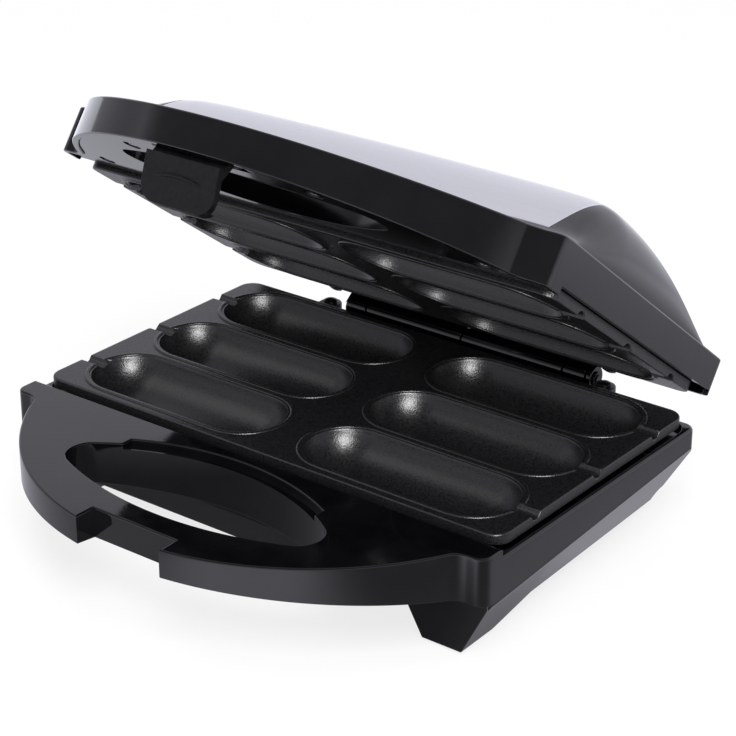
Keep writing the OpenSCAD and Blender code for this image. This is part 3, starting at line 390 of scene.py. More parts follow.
def cap(mesh, rims, z, up, lines=(), places=()):
    """Fills between rims of vertices with a face; lines are creases across it, places more points of it."""
    verts, faces = mesh
    ids = [i for rim in rims for i in rim]
    flat = [Vector(verts[i][:2]) for i in ids]
    edges, k = [], 0
    for rim in rims:
        n = len(rim)
        edges += [(k + i, k + (i + 1) % n) for i in range(n)]
        k += n
    for p, q in lines:
        flat += [Vector(p), Vector(q)]
        edges.append((len(flat) - 2, len(flat) - 1))
    flat += [Vector(p) for p in places]
    out, _, tris, origin, _, _ = delaunay_2d_cdt(flat, edges, [], 1, 1e-5)
    heights = level_at(z)(np.array([p[0] for p in out]), np.array([p[1] for p in out]))
    at = []
    for p, h, src in zip(out, heights, origin):
        known = [s for s in src if s < len(ids)]
        if known:
            at.append(ids[known[0]])
        else:
            at.append(len(verts))
            verts.append((p[0], p[1], float(h)))
    loops = [np.array([verts[i][:2] for i in rim]) for rim in rims]
    mid = np.array([np.mean([out[i][:] for i in t], axis=0) for t in tris])
    for t, keep in zip(tris, inside(mid, loops)):
        if not keep:
            continue
        a, b, c = (out[i] for i in t)
        ccw = (b[0] - a[0]) * (c[1] - a[1]) - (b[1] - a[1]) * (c[0] - a[0]) > 0
        t = [at[i] for i in t]
        faces.append(tuple(t if ccw == up else t[::-1]))


def wall(mesh, loop, rings):
    """Skins a stack of rings round a loop; gives the first and last ring's vertices."""
    verts, faces = mesh
    start, n = len(verts), len(loop)
    for inset, f in rings:
        q = inward(loop, inset) if inset else np.asarray(loop, float)
        z = level_at(f)(q[:, 0], q[:, 1])
        verts.extend((float(x), float(y), float(h)) for (x, y), h in zip(q, z))
    for k in range(len(rings) - 1):
        for i in range(n):
            a, b = start + k * n + i, start + k * n + (i + 1) % n
            faces.append((a, b, b + n, a + n))
    last = start + (len(rings) - 1) * n
    return list(range(start, start + n)), list(range(last, last + n))


def slab(mesh, loops, low, top, r_low, r_top):
    """A plate of any outline with rounded edges; the first loop anticlockwise, holes clockwise."""
    rims = [wall(mesh, loop, low_edge(low, r_low) + top_edge(top, r_top)) for loop in loops]
    cap(mesh, [r[0] for r in rims], low, False)
    cap(mesh, [r[1] for r in rims], top, True)


def turned(mesh, to, maker):
    """Makes part of a mesh in its own axes and puts it in place with a function of its points."""
    verts, faces = mesh
    part = ([], [])
    maker(part)
    k = len(verts)
    verts.extend(map(tuple, to(np.array(part[0]))))
    faces.extend(tuple(i + k for i in f) for f in part[1])


def on_side(p):
    """Takes a section drawn in y and z, with its length as height, to its place along x."""
    return p[:, [2, 0, 1]]


def barrels(mesh, which, web):
    """Hinge barrels on their webs, drawn as sections and run along x."""
    ring = arc((HINGE_Y, HINGE_Z), BARREL_R, 0, 360, 48)
    for i in which:
        x0, x1 = BARREL_EDGES[i] + BARREL_PLAY, BARREL_EDGES[i + 1] - BARREL_PLAY
        turned(mesh, on_side, lambda m: slab(m, [ring], x0, x1, 0.5, 0.5))
        turned(mesh, on_side, lambda m: slab(m, [np.array(web, float)], x0, x1, 0.4, 0.4))


def band_z(x, y):
    """Lower edge of the base's band: it falls from the handle's front to the bend, and rises to the back."""
    return np.interp(y, (HANDLE_FRONT, BAND_BEND_Y, BASE_REAR), (BAND_FRONT_Z, BAND_BEND_Z, BAND_REAR_Z))


def surface(
    name, dark, light, rough, scale, metallic=0.0, ior=1.5, bump=0.0, bump_scale=None, stretch=(1, 1, 1)
):
    """Procedural finish: two close colours and a range of roughness mixed by noise, with a fine relief."""
    mat = bpy.data.materials.new(name)
    mat.use_nodes = True
    tree = mat.node_tree
    bsdf = tree.nodes["Principled BSDF"]
    bsdf.inputs["Metallic"].default_value = metallic
    bsdf.inputs["IOR"].default_value = ior
    place = tree.nodes.new("ShaderNodeTexCoord")
    grow = add_node(tree, "ShaderNodeMapping", Scale=stretch)
    tree.links.new(place.outputs["Object"], grow.inputs["Vector"])
    noise = add_node(tree, "ShaderNodeTexNoise", Scale=scale, Detail=4.0, Roughness=0.6)
    tree.links.new(grow.outputs[0], noise.inputs["Vector"])
    spread = ramp_node(tree, noise.outputs["Fac"], 0.3, 0.7, 0.0, 1.0)
    tree.links.new(colour_node(tree, spread, dark, light), bsdf.inputs["Base Color"])
    tree.links.new(ramp_node(tree, noise.outputs["Fac"], 0.3, 0.7, *rough), bsdf.inputs["Roughness"])
    if bump:
        fine = add_node(tree, "ShaderNodeTexNoise", Scale=bump_scale or scale * 4, Detail=2.0)
        tree.links.new(grow.outputs[0], fine.inputs["Vector"])
        relief = add_node(tree, "ShaderNodeBump", Strength=bump, Distance=0.0004)
        tree.links.new(fine.outputs["Fac"], relief.inputs["Height"])
        tree.links.new(relief.outputs[0], bsdf.inputs["Normal"])
    return mat


def hand_over(obj, body, node):
    """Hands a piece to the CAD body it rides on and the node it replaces."""
    scene.collection.objects.link(obj)
    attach(obj, body)
    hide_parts(node)
    return obj


def even_shading(obj):
    """Evens the shading of flat faces next to rounded edges."""
    obj.modifiers.new("even shading", "WEIGHTED_NORMAL").keep_sharp = True


def show(name, mesh, body, node, material, sharp=32.0):
    """Makes the piece of a mesh in millimetres and hands it over."""
    data = bpy.data.meshes.new(name)
    data.from_pydata([tuple(p) for p in in_frame(mesh[0])], [], mesh[1])
    data.validate()
    data.shade_smooth()
    data.set_sharp_from_angle(angle=math.radians(sharp))
    data.materials.append(material)
    obj = bpy.data.objects.new(name, data)
    even_shading(obj)
    return hand_over(obj, body, node)


gloss_black = surface(
    "gloss_black", (0.0018, 0.0018, 0.0022), (0.0032, 0.0032, 0.0038), (0.05, 0.10), 60.0,
    bump=0.02, bump_scale=900.0,
)

whole = outline(BASE_REAR, (BAND_BEND_Y, STEP_Y))
before_step = whole[whole[:, 1] <= STEP_Y + 1e-6]
handle_right = before_step[before_step[:, 0] > NOTCH_HW]
handle_left = before_step[before_step[:, 0] < -NOTCH_HW]
notch_front = HANDLE_Y - math.sqrt(HANDLE_R**2 - NOTCH_HW**2)
notch = np.concatenate([
    line((-NOTCH_HW, notch_front), (-NOTCH_HW, NOTCH_Y), 3),
    line((-NOTCH_HW, NOTCH_Y), (NOTCH_HW, NOTCH_Y), 6),
    line((NOTCH_HW, NOTCH_Y), (NOTCH_HW, notch_front), 3),
    [[NOTCH_HW, notch_front]],
])
step = line((HALF_W, STEP_Y), (-HALF_W, STEP_Y), 12)
handle_plan = np.concatenate([notch, handle_right, step[1:], handle_left])
tongue_hw, tongue_y = HALF_W - TONGUE_IN, STEP_Y - TONGUE_D
rim_plan = np.concatenate([
    line((-tongue_hw, tongue_y), (tongue_hw, tongue_y), 12),
    [[tongue_hw, tongue_y], [tongue_hw, STEP_Y], [HALF_W, STEP_Y]],
    whole[whole[:, 1] > STEP_Y + 1e-6],
    [[-HALF_W, STEP_Y], [-tongue_hw, STEP_Y]],
])
pocket = round_rect(POCKET_HW, POCKET_FRONT, POCKET_REAR, POCKET_R, POCKET_R)
low_hole, top_hole = finger_hole(), finger_hole(ledge=True)

base = ([], [])
low_rims = [
    wall(base, handle_plan, low_edge(band_z, 0.5) + [(0.0, LEDGE_Z)]),
    wall(base, low_hole[::-1], low_edge(band_z, 0.6) + [(0.0, LEDGE_Z)]),
]
top_rims = [
    wall(base, handle_plan, [(0.0, LEDGE_Z)] + top_edge(DECK_Z, 0.9)),
    wall(base, top_hole[::-1], [(0.0, LEDGE_Z)] + top_edge(DECK_Z, 0.7)),
]
band_crease = ((-BAND_CREASE_HW, BAND_BEND_Y), (BAND_CREASE_HW, BAND_BEND_Y))
cap(base, [r[0] for r in low_rims], band_z, False, [band_crease])
cap(base, [low_rims[1][1], top_rims[1][0]], LEDGE_Z, True)
cap(base, [r[1] for r in top_rims], DECK_Z, True)
rims = [
    wall(base, rim_plan, low_edge(band_z, 0.5) + top_edge(RIM_Z, 1.7, 6)),
    wall(base, pocket[::-1], low_edge(band_z, 0.5) + top_edge(RIM_Z, 0.3)),
]
cap(base, [r[0] for r in rims], band_z, False)
cap(base, [r[1] for r in rims], RIM_Z, True)
seat_outer = round_rect(*SEAT_OUTER, POCKET_R, POCKET_R)
seat_inner = round_rect(*SEAT_INNER, SEAT_INNER_R, SEAT_INNER_R)
slab(base, [seat_outer, seat_inner[::-1]], SEAT_LOW, SEAT_TOP, 0.3, 0.3)
shelf = round_rect(LUG_X + SHELF_OUT, POCKET_REAR, HINGE_Y + SHELF_D, 2.0, 4.0)
slab(base, [shelf], SHELF_TOP - SHELF_T, SHELF_TOP, 0.6, 0.6)
for s in (-1, 1):
    slab(base, [arc((s * LUG_X, LUG_Y), BOSS_R, 0, 360, 40)], SHELF_TOP - 0.1, BOSS_TOP, 0.1, 0.3)
web_front, web_rear, web_low = HINGE_Y - WEB_HW, HINGE_Y + WEB_HW, SHELF_TOP - 0.1
barrels(
    base, BASE_BARRELS, [(web_front, web_low), (web_rear, web_low), (web_rear, HINGE_Z), (web_front, HINGE_Z)]
)
show("base_frame_moulding", base, "base", "base_frame", gloss_black)

# Base tub: the lower half of the base, the same black plastic, with chamfered sides and wedge feet.
# Moulded in one with the handle's underside; its corners are softened as they leave the tool.
FOOT_TOP, FOOT_ROOT_X, FOOT_SIDE_X = -21.0, 74.4, 117.0
# Sections of a front foot, from its front: place, sole height, the sole's inner and outer edge, brow height.
FOOT_SECTIONS = (
    (-11.7, -45.05, 88.3, 106.0, -23.8),
    (9.1, -45.05, 88.3, 105.6, -22.6),
    (30.0, -37.0, 92.0, 109.0, -21.3),
)


def rounded(obj, width):
    """Rounds an object's edges and evens the shading of its flat faces."""
    obj.modifiers.clear()
    mod = obj.modifiers.new("rounded edges", "BEVEL")
    mod.width = width / 1000.0
    mod.segments = 3
    mod.limit_method = "ANGLE"
    mod.angle_limit = math.radians(28.0)
    mod.miter_outer = "MITER_ARC"
    even_shading(obj)


def softened(node, name, body, material, width):
    """A copy of a CAD node's mesh with its flat faces joined and its edges rounded."""
    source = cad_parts[node]
    data = source.data.copy()
    bm = bmesh.new()
    bm.from_mesh(data)
    bmesh.ops.remove_doubles(bm, verts=bm.verts, dist=2e-6)
    bmesh.ops.dissolve_limit(bm, angle_limit=math.radians(0.6), verts=bm.verts, edges=bm.edges)
    bm.to_mesh(data)
    bm.free()
    data.shade_smooth()
    data.set_sharp_from_angle(angle=math.radians(34.0))
    data.materials.clear()
    data.materials.append(material)
    obj = bpy.data.objects.new(name, data)
    obj.matrix_world = source.matrix_world.copy()
    rounded(obj, width)
    return hand_over(obj, body, node)


softened("base_tub", "base_tub_moulding", "base", gloss_black, 0.8)
feet = ([], [])
for s in (-1, 1):
    k = len(feet[0])
    for y, sole, inner, outer, brow in FOOT_SECTIONS:
        section = [(FOOT_ROOT_X, FOOT_TOP), (inner, sole), (outer, sole)]
        section += [(FOOT_SIDE_X, brow), (FOOT_SIDE_X, FOOT_TOP)]
        feet[0].extend((s * x, y, z) for x, z in section)
    n = len(section)
    skins = [tuple(range(k, k + n)), tuple(range(k + 3 * n - 1, k + 2 * n - 1, -1))]
    for a in (k, k + n):
        skins += [(a + i + n, a + (i + 1) % n + n, a + (i + 1) % n, a + i) for i in range(n)]
    feet[1].extend(skins if s > 0 else [f[::-1] for f in skins])
rounded(show("front_feet", feet, "base", "base_tub", gloss_black), 0.9)

# Rubber parts: four pads pressed under the feet and the bush in the tub's back wall.
# Moulded black rubber with a dull, faintly rough skin.
rubber = surface(
    "rubber", (0.010, 0.010, 0.010), (0.022, 0.022, 0.021), (0.6, 0.85), 300.0, bump=0.3, bump_scale=1500.0
)
softened("foot_pads", "rubber_foot_pads", "base", rubber, 0.4)
softened("cord_gland", "cord_gland_bush", "base", rubber, 0.4)

# Lower plate: die-cast aluminium with six capsule cavities, a bead round each, a groove for each stick and
# two rear lugs. Dark satin non-stick coating, sprayed; held by a screw through each lug.
PLATE_HW, PLATE_D, PLATE_T, PLATE_R = 114.0, 130.4, 4.2, 7.0
PLATE_EDGE_R, CASTING_T = 0.7, 3.0
ROWS = (23.4, 65.2, 107.0)
TROUGH_R, TROUGH_Z, TROUGH_BLEND = 17.9375, 3.9375, 1.2
CAVITY_IN, CAVITY_OUT = 26.5, 86.5
BEAD_H, BEAD_MID, BEAD_HW = 0.6, 19.4, 0.95
STICK_R, STICK_FROM, STICK_CLEAR, STICK_BLEND = 2.9, 103.6, 4.2, 0.3
CLIMB = 9
LUG_R, LUG_ROOT, LUG_LOW, LUG_TOP = 5.0, 128.4, -5.0, -1.6
# Where the face gets its points: rings at these distances from a cavity's middle line and turns over the
# bead, rows at these distances from a groove's middle line, and rings this far in from the edge.
CAVITY_RINGS = (3, 6, 9, 11.5, 13.5, 15, 16, 16.6, 17.0, 17.2, 17.3, 17.4, 17.5, 17.6, 17.7, 17.8, 18.1, 20.6)
BEAD_TURNS = (-90, -82, -66, -48, -30, -12, 6, 24, 42, 60, 78, 90)
GROOVE_ROWS = (0.8, 1.6, 2.2, 2.55, 2.75, 2.9, 3.05, 3.3)
EDGE_RINGS = (0.04, 0.15, 0.35, 0.7, 1.4)


def smooth_min(a, b, k):
    """The lower of two surfaces, blended over a width k."""
    h = np.maximum(k - np.abs(a - b), 0.0) / k
    return np.minimum(a, b) - h * h * k / 4


def round_valley(d, radius, middle):
    """Height of a round valley at a distance from its middle line; outside it climbs away."""
    return middle - np.sqrt(np.maximum(radius**2 - d * d, 0)) + np.maximum(d - radius, 0) * CLIMB


def past_edge(x, y):
    """Distance out past a cooking plate's edge, negative inside it."""
    qx, qy = np.abs(x) - PLATE_HW + PLATE_R, np.abs(y - PLATE_D / 2) - PLATE_D / 2 + PLATE_R
    return np.hypot(np.maximum(qx, 0), np.maximum(qy, 0)) + np.minimum(np.maximum(qx, qy), 0) - PLATE_R


def plate_face(x, y):
    """Height of a cooking plate's face: beads, troughs, stick grooves and a rounded edge."""
    ax = np.abs(x)
    near = [np.hypot(ax - np.clip(ax, CAVITY_IN, CAVITY_OUT), y - r) for r in ROWS]
    z = BEAD_H * np.sqrt(np.clip(1 - ((np.min(near, axis=0) - BEAD_MID) / BEAD_HW) ** 2, 0, 1))
    for r, d in zip(ROWS, near):
        z = smooth_min(z, round_valley(d, TROUGH_R, TROUGH_Z), TROUGH_BLEND)
        groove = round_valley(np.abs(y - r), STICK_R, BEAD_H)
        z = np.where(ax > CAVITY_OUT, smooth_min(z, groove, STICK_BLEND), z)
    t = np.clip(past_edge(x, y) + PLATE_EDGE_R, 0, PLATE_EDGE_R)
    return z - (PLATE_EDGE_R - np.sqrt(PLATE_EDGE_R**2 - t * t))


def plate_under(x, y):
    """Height of a cooking plate's underside, which follows the troughs."""
    return np.minimum(plate_face(x, y) - CASTING_T, -PLATE_T)


def face_points():
    """Places on a plate's face: rings round each cavity, rows along each groove and rings along the edge.

    Gives the places, how many lie on the edge, and the pairs that a ring joins.
    """
    edge = round_rect(PLATE_HW, 0.0, PLATE_D, PLATE_R, PLATE_R, 12)
    pieces = [line(p, q, max(1, int(np.hypot(*(q - p)) / 1.2))) for p, q in zip(edge, np.roll(edge, -1, 0))]
    spread = [np.concatenate(pieces)]
    outer = len(spread[0])
    spread += [inward(spread[0], d) for d in EDGE_RINGS]
    rings = [*CAVITY_RINGS, *(BEAD_MID + BEAD_HW * np.sin(np.radians(BEAD_TURNS)))]
    rows = [*(-d for d in GROOVE_ROWS[::-1]), 0.0, *GROOVE_ROWS]
    joined = []
    for s in (-1, 1):
        for r in ROWS:
            a, b = sorted((s * CAVITY_IN, s * CAVITY_OUT))
            spread.append(line((a, r), (b, r), 20))
            for d in rings:
                turn = 12 if d < 9 else 26
                ring = np.concatenate([
                    line((a, r - d), (b, r - d), 16), arc((b, r), d, -90, 90, turn),
                    line((b, r + d), (a, r + d), 16), arc((a, r), d, 90, 270, turn),
                ])
                k, n = sum(map(len, spread)), len(ring)
                clear = (ring[:, 0] * s < CAVITY_OUT) | (np.abs(ring[:, 1] - r) > STICK_CLEAR)
                joined += [(k + i, k + (i + 1) % n) for i in range(n) if clear[i] and clear[(i + 1) % n]]
                spread.append(ring)
            for dy in rows:
                spread.append(line((s * (PLATE_HW - 0.9), r + dy), (s * STICK_FROM, r + dy), 9))
    return np.concatenate(spread), outer, joined


def cooking_plate(mesh):
    """Face drawn over its places, with a wall down to the plate's edge, an underside and two lugs."""
    verts, faces = mesh
    flat, outer, joined = face_points()
    out, _, tris, origin, _, _ = delaunay_2d_cdt([Vector(p) for p in flat], joined, [], 0, 1e-4)
    x, y = np.array([p[0] for p in out]), np.array([p[1] for p in out])
    verts.extend(zip(x.tolist(), y.tolist(), plate_face(x, y).tolist()))
    for a, b, c in tris:
        up = (x[b] - x[a]) * (y[c] - y[a]) - (y[b] - y[a]) * (x[c] - x[a]) > 0
        faces.append((a, b, c) if up else (a, c, b))
    known = {src: i for i, group in enumerate(origin) for src in group}
    rim = [known[i] for i in range(outer)]
    k = len(verts)
    verts.extend((verts[i][0], verts[i][1], -PLATE_T) for i in rim)
    for i in range(outer):
        j = (i + 1) % outer
        faces.append((rim[j], rim[i], k + i, k + j))
    spread = np.meshgrid(np.linspace(-PLATE_HW, PLATE_HW, 110), np.linspace(0.0, PLATE_D, 64))
    under = np.column_stack([a.ravel() for a in spread])
    under = under[past_edge(*under.T) < -0.8]
    cap(mesh, [range(k, k + outer)], plate_under, False, places=under)
    for s in (-1, 1):
        root = [[s * LUG_X - LUG_R, LUG_ROOT], [s * LUG_X + LUG_R, LUG_ROOT]]
        lug = np.concatenate([arc((s * LUG_X, LUG_Y), LUG_R, 0, 180, 20), root])
        slab(mesh, [lug], LUG_LOW, LUG_TOP, 0.3, 0.6)


non_stick = surface(
    "non_stick", (0.002, 0.002, 0.0023), (0.005, 0.005, 0.0054), (0.26, 0.34), 1100.0,
    ior=1.44, bump=0.22, bump_scale=1500.0,
)
blackened = surface(
    "blackened_steel", (0.02, 0.02, 0.021), (0.045, 0.045, 0.047), (0.25, 0.4), 220.0, metallic=0.7, bump=0.05
)
plate = ([], [])
cooking_plate(plate)
plates_lit.objects.link(show("lower_plate_casting", plate, "base", "lower_plate", non_stick))
softened("lower_plate_screws", "lower_plate_lug_screws", "base", blackened, 0.15)

# Heating parts and fixings in the base: two sheathed rods, a bright tray under them, the switch, fuse and
# terminal block, the screws and the hinge's pin. They stay as built and get their finish.


def finish_node(node, material):
    """Gives a CAD node that stays as built its finish."""
    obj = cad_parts[node]
    obj.data.materials.clear()
    obj.data.materials.append(material)


bright = surface(
    "bright_steel", (0.45, 0.45, 0.47), (0.62, 0.62, 0.64), (0.22, 0.34), 200.0, metallic=1.0, bump=0.05
)
sheath = surface("heater_sheath", (0.10, 0.09, 0.085), (0.18, 0.165, 0.15), (0.4, 0.6), 150.0, metallic=0.8)
tray = surface("bright_tray", (0.60, 0.60, 0.62), (0.74, 0.74, 0.76), (0.2, 0.35), 120.0, metallic=1.0)
ceramic = surface("ceramic", (0.62, 0.58, 0.48), (0.72, 0.68, 0.58), (0.5, 0.7), 200.0)
for node, material, slot in (
    ("lower_heater", sheath, "heater"),
    ("lower_reflector", tray, "reflector"),
    ("thermostat", ceramic, "ceramic"),
    ("thermal_fuse", ceramic, "ceramic"),
    ("terminal_block", ceramic, "ceramic"),
    ("base_screws", bright, "fixings"),
    ("hinge_pin", blackened, "fixings"),
    ("hinge_pin_clips", blackened, "fixings"),
):
    finish_node(node, material)

# Lid frame: the lid's band and its front cover over the handle, one gloss black moulding like the base.
# Drawn shut, then swung open about the hinge pin, which runs through its two barrels.
LID_OPEN = math.radians(36.2)
LID_REAR, LID_LOW, LID_SIDE = 140.0, 2.5, 5.7
LID_BEND_Y, LID_FRONT_Z, LID_BEND_Z, LID_REAR_Z = -8.0, 16.4, 22.2, 19.4
LID_INSIDE_HW, LID_CREASE_HW = 113.0, 116.4
LID_WALL, LID_SKIN, LID_LIP, LID_LIP_H = 2.55, 2.4, 2.2, 0.4
LID_BARRELS, LID_WEB_Z, LID_WEB_D = (0, 3), 12.0, 2.5
BARREL_REACH, BARREL_GAP = 3.5, 0.7
LATCH_Y, LATCH_Z = -73.8, 4.9
EAR_PLACES, EAR_T, EAR_R, EAR_FRONT, EAR_TOP = (-20.4, 17.8), 2.6, 2.6, -78.6, 14.0


def swung(mesh):
    """A mesh of the shut lid at the open angle of the photograph."""
    p = np.asarray(mesh[0], float)
    dy, dz = p[:, 1] - HINGE_Y, p[:, 2] - HINGE_Z
    c, s = math.cos(LID_OPEN), math.sin(LID_OPEN)
    return np.column_stack([p[:, 0], HINGE_Y + dy * c + dz * s, HINGE_Z - dy * s + dz * c]), mesh[1]


def lid_top(x, y):
    """Height of the shut lid's deck, which rises from the front to the bend and falls to the back."""
    return np.interp(y, (HANDLE_FRONT, LID_BEND_Y, LID_REAR), (LID_FRONT_Z, LID_BEND_Z, LID_REAR_Z))


def lid_inside(x, y):
    """Underside of the lid's deck."""
    return lid_top(x, y) - LID_SKIN


def lid_edge(x, y):
    """Lower edge of the shut lid's band: deep in front, shallow beside the plate, close over the barrels."""
    over_barrels = HINGE_Z + BARREL_R + BARREL_GAP
    return np.where(y < STEP_Y, LID_LOW, np.where(y > LID_REAR - BARREL_REACH, over_barrels, LID_SIDE))


lid = ([], [])
lid_plan = outline(LID_REAR, (LID_BEND_Y, STEP_Y - 0.02, STEP_Y + 0.02))
rings = [(LID_WALL, lid_inside), (LID_WALL, lambda x, y: lid_edge(x, y) + LID_LIP_H), (LID_LIP, lid_edge)]
ends = wall(lid, lid_plan, rings + low_edge(lid_edge, 0.5) + top_edge(lid_top, 0.9))
cap(lid, [ends[0]], lid_inside, False, [((-LID_INSIDE_HW, LID_BEND_Y), (LID_INSIDE_HW, LID_BEND_Y))])
cap(lid, [ends[1]], lid_top, True, [((-LID_CREASE_HW, LID_BEND_Y), (LID_CREASE_HW, LID_BEND_Y))])
barrels(lid, LID_BARRELS, [
    (LID_REAR - LID_WEB_D, LID_SIDE), (LID_REAR - LID_WEB_D, LID_WEB_Z), (LID_REAR, LID_WEB_Z),
    (HINGE_Y, HINGE_Z + BARREL_R), (HINGE_Y - BARREL_R, HINGE_Z),
])
ear = np.concatenate([
    arc((LATCH_Y, LATCH_Z), EAR_R, 180, 360, 20),
    [[LATCH_Y + EAR_R, EAR_TOP], [EAR_FRONT, EAR_TOP], [EAR_FRONT, LATCH_Z]],
])
for x0 in EAR_PLACES:
    turned(lid, on_side, lambda m: slab(m, [ear], x0, x0 + EAR_T, 0.3, 0.3))
show("lid_frame_moulding", swung(lid), "lid", "lid_frame", gloss_black)

# Lid dome: gloss black moulding over the upper plate, swelling from the deck to a crest near the front and
# falling to the hinge. A shallow bed is let into its top for the steel panel, which is glued in.
DOME_HW, DOME_FRONT, DOME_BACK, DOME_CREST, DOME_RISE = 115.7, -6.0, 122.0, 38.0, 27.4
DOME_SWELL, DOME_FALL, DOME_BACK_TURN = 1.35, 0.6, 5
DOME_CROWN, DOME_SIDE_TURN = 0.06, 17
PANEL_HW, PANEL_FRONT, PANEL_REAR = 101.0, 1.0, 100.8
PANEL_GAP, BED_DEEP, BED_WALL = 0.4, 0.9, 0.03
BED_HW, BED_FRONT, BED_REAR = PANEL_HW + PANEL_GAP, PANEL_FRONT - PANEL_GAP, PANEL_REAR + PANEL_GAP


def dome_z(x, y):
    """Height of the shut lid's dome."""
    t = np.clip((y - DOME_FRONT) / (DOME_CREST - DOME_FRONT), 0, 1)
    v = np.clip((y - DOME_CREST) / (DOME_BACK - DOME_CREST), 0, 1)
    fall = (1 - DOME_FALL * v * v) * np.sqrt(1 - v**DOME_BACK_TURN)
    run = np.where(y < DOME_CREST, 1 - (1 - t**DOME_SWELL) ** 2, fall)
    u = np.clip(np.abs(x) / DOME_HW, 0, 1)
    return lid_top(x, y) + DOME_RISE * run * (1 - DOME_CROWN * u * u) * np.sqrt(1 - u**DOME_SIDE_TURN)


def dome_bed(x, y):
    """Dome with the bed for the panel let in."""
    bed = (np.abs(x) <= BED_HW) & (y >= BED_FRONT) & (y <= BED_REAR)
    return dome_z(x, y) - np.where(bed, BED_DEEP, 0.0)


def closing(a, b, count):
    """Grid lines that close up towards the end, where the surface stands steep."""
    return a + (b - a) * np.sin(np.linspace(0, math.pi / 2, count))


def grid(mesh, xs, ys, height, up=True):
    """Skin over a grid of lines; gives the vertices round its edge."""
    verts, faces = mesh
    k, n, m = len(verts), len(xs), len(ys)
    x, y = (a.ravel() for a in np.meshgrid(xs, ys, indexing="ij"))
    verts.extend(zip(x.tolist(), y.tolist(), height(x, y).tolist()))
    for i in range(n - 1):
        for j in range(m - 1):
            a = k + i * m + j
            f = (a, a + m, a + m + 1, a + 1)
            faces.append(f if up else f[::-1])
    last = k + (n - 1) * m
    front, right = range(k, last, m), range(last, last + m - 1)
    rear, left = range(last + m - 1, k + m - 1, -m), range(k + m - 1, k, -1)
    return [*front, *right, *rear, *left]


side_lines = closing(BED_HW + BED_WALL, DOME_HW, 26)
x_lines = np.concatenate([-side_lines[::-1], np.linspace(-BED_HW, BED_HW, 60), side_lines])
y_lines = np.concatenate([
    np.linspace(DOME_FRONT, BED_FRONT - BED_WALL, 14), np.linspace(BED_FRONT, DOME_CREST, 26),
    np.linspace(DOME_CREST, BED_REAR, 44)[1:], closing(BED_REAR + BED_WALL, DOME_BACK, 26),
])
dome = ([], [])
cap(dome, [grid(dome, x_lines, y_lines, dome_bed)], lid_top, False)
show("lid_dome_moulding", swung(dome), "lid", "lid_dome", gloss_black, sharp=40.0)

# Steel panel: thin brushed stainless sheet, pressed to the dome's curve and glued into its bed.
# The brush lines run from side to side, and the edges are rolled down a little.
PANEL_T, PANEL_ROLL = 0.5, 0.5


def panel_z(x, y):
    """Panel's top face, rolled down along its edges to the height of its underside."""
    d = np.minimum(np.minimum(PANEL_HW - np.abs(x), y - PANEL_FRONT), PANEL_REAR - y)
    t = np.clip(1 - d / PANEL_ROLL, 0, 1)
    return dome_z(x, y) - PANEL_T * (1 - np.sqrt(1 - 0.999 * t * t)) / (1 - math.sqrt(0.001))


def panel_under(x, y):
    """Panel's underside."""
    return dome_z(x, y) - PANEL_T


def edged(a, b, count):
    """Even grid lines with a few close ones at each end for the rolled edge."""
    ends_at = np.array([0.0, 0.05, 0.15, 0.3, 0.5])
    return np.concatenate([a + ends_at, np.linspace(a + 2, b - 2, count), b - ends_at[::-1]])


brushed = surface(
    "brushed_steel", (0.70, 0.70, 0.715), (0.75, 0.75, 0.765), (0.27, 0.34), 260.0,
    metallic=1.0, bump=0.06, bump_scale=500.0, stretch=(0.05, 6.0, 6.0),
)
panel = ([], [])
for height, up in ((panel_z, True), (panel_under, False)):
    grid(panel, edged(-PANEL_HW, PANEL_HW, 48), edged(PANEL_FRONT, PANEL_REAR, 56), height, up)
show("brushed_steel_panel", swung(panel), "lid", "steel_panel", brushed, sharp=60.0)

# Lid's inner cover: gloss black panel that closes the lid's front from below, with a pocket for the finger
# tips. Held by four screws in sunk wells.
softened("lid_inner_cover", "lid_inner_cover_panel", "lid", gloss_black, 0.35)
softened("lid_cover_screws", "lid_cover_pan_screws", "lid", bright, 0.12)

# Upper plate: the same casting as the lower one, turned over and screwed into the lid by its two lugs.
# Behind it are its own rods, tray and switch, which stay as built, and so does the latch's pin.
PLATES_APART = 1.3

upper = ([], [])
turned(upper, lambda p: p * (1, 1, -1) + (0, 0, PLATES_APART), cooking_plate)
upper = (upper[0], [f[::-1] for f in upper[1]])
plates_lit.objects.link(
    show("upper_plate_casting", swung(upper), "lid", "upper_plate", non_stick)
)
softened("upper_plate_screws", "upper_plate_lug_screws", "lid", blackened, 0.15)
for node, material, slot in (
    ("upper_heater", sheath, "heater"),
    ("upper_reflector", tray, "reflector"),
    ("upper_cutout", ceramic, "ceramic"),
    ("latch_pin", bright, "fixings"),
):
    finish_node(node, material)

# Lamp windows: two small round windows let into the lid's front cover, clear tinted plastic, red for power
# and green for ready. Each is turned with a domed face and a collar under the cover.
WINDOW_R, WINDOW_Y, WINDOW_LOW, WINDOW_TOP = 3.2, -40.0, -2.4, 0.8
WINDOW_RINGS = ((0.0, WINDOW_LOW), (0.0, 0.35), (0.12, 0.55), (0.4, 0.68), (1.0, 0.76), (2.0, WINDOW_TOP))
DECK_TILT = math.atan2(LID_BEND_Z - LID_FRONT_Z, LID_BEND_Y - HANDLE_FRONT)


def window(mesh):
    """One lamp window about its own axis."""
    foot, face = wall(mesh, arc((0, 0), WINDOW_R, 0, 360, 40), WINDOW_RINGS)
    cap(mesh, [foot], WINDOW_LOW, False)
    cap(mesh, [face], WINDOW_TOP, True)


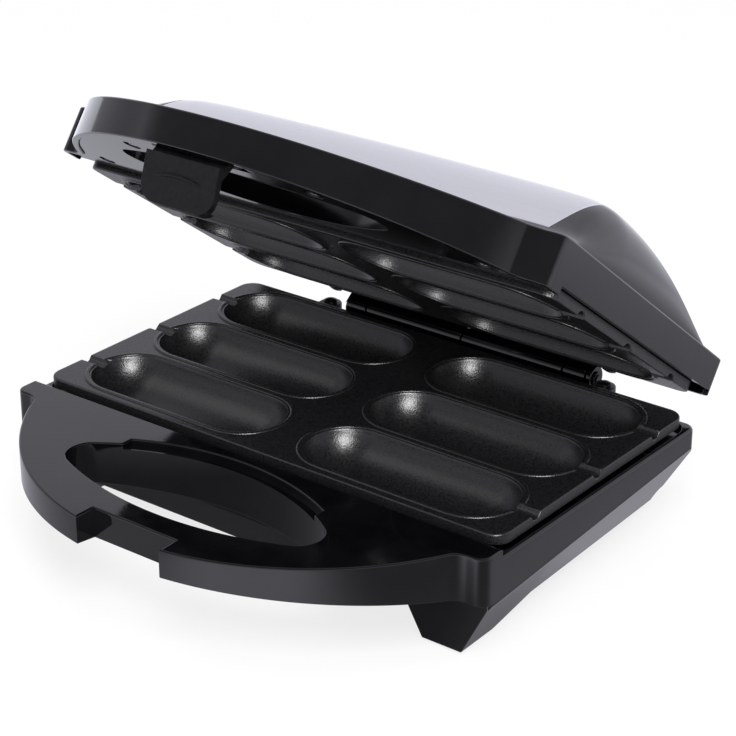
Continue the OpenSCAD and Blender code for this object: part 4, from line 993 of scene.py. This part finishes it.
def in_cover(p, x):
    """Sets a window's points in the sloping cover, square to it and at x."""
    c, s = math.cos(DECK_TILT), math.sin(DECK_TILT)
    dy, dz = p[:, 1] * c - p[:, 2] * s, p[:, 1] * s + p[:, 2] * c
    return np.column_stack([p[:, 0] + x, WINDOW_Y + dy, lid_top(x, WINDOW_Y) + dz])


for name, node, x, slot, dark, light in (
    ("power_light_window", "power_light", -11.0, "lamp_red", (0.20, 0.006, 0.005), (0.32, 0.012, 0.01)),
    ("ready_light_window", "ready_light", 11.0, "lamp_green", (0.006, 0.11, 0.02), (0.012, 0.17, 0.03)),
):
    pane = ([], [])
    turned(pane, lambda p: in_cover(p, x), window)
    tinted = surface(name + "_tint", dark, light, (0.08, 0.16), 300.0, bump=0.03)
    show(name, swung(pane), "lid", node, tinted)

# Latch: a matt black tab that hangs from a pin under the lid's front edge and drops into the handle's notch,
# where its lip catches. Moulded with a fine spark texture and a low rib across its face for the finger.
TAB_TOP_Y, TAB_TOP_Z, TAB_SLANT = -80.0, -0.3, math.radians(17.0)
RIB_DOWN, RIB_HW, RIB_R, RIB_BOW, RIB_SUNK = 6.8, 10.5, 0.7, 1.4, 0.03


def on_tab(p):
    """Takes a form drawn flat to the tab's slanted face: across it, up it and out of it."""
    s, c = math.sin(TAB_SLANT), math.cos(TAB_SLANT)
    up = p[:, 1] - RIB_DOWN - RIB_BOW * (p[:, 0] / RIB_HW) ** 2
    return np.column_stack([p[:, 0], TAB_TOP_Y - up * s - p[:, 2] * c, TAB_TOP_Z + up * c - p[:, 2] * s])


def rib_height(x, y):
    """Height of the rib's round back, running out at both ends."""
    return RIB_R * np.sqrt(np.clip(1 - (x / RIB_HW) ** 4 - (y / RIB_R) ** 2, 0, 1)) - RIB_SUNK


texture_black = surface(
    "texture_black", (0.003, 0.003, 0.004), (0.007, 0.007, 0.008), (0.36, 0.50), 500.0,
    ior=1.26, bump=0.25, bump_scale=2200.0,
)
softened("latch", "latch_tab", "latch", texture_black, 0.5)
rib = ([], [])
turns = np.sin(np.linspace(-math.pi / 2, math.pi / 2, 25))
turned(rib, on_tab, lambda m: grid(m, RIB_HW * turns, RIB_R * turns[::2], rib_height))
show("latch_rib", swung(rib), "latch", "latch", texture_black, sharp=60.0)
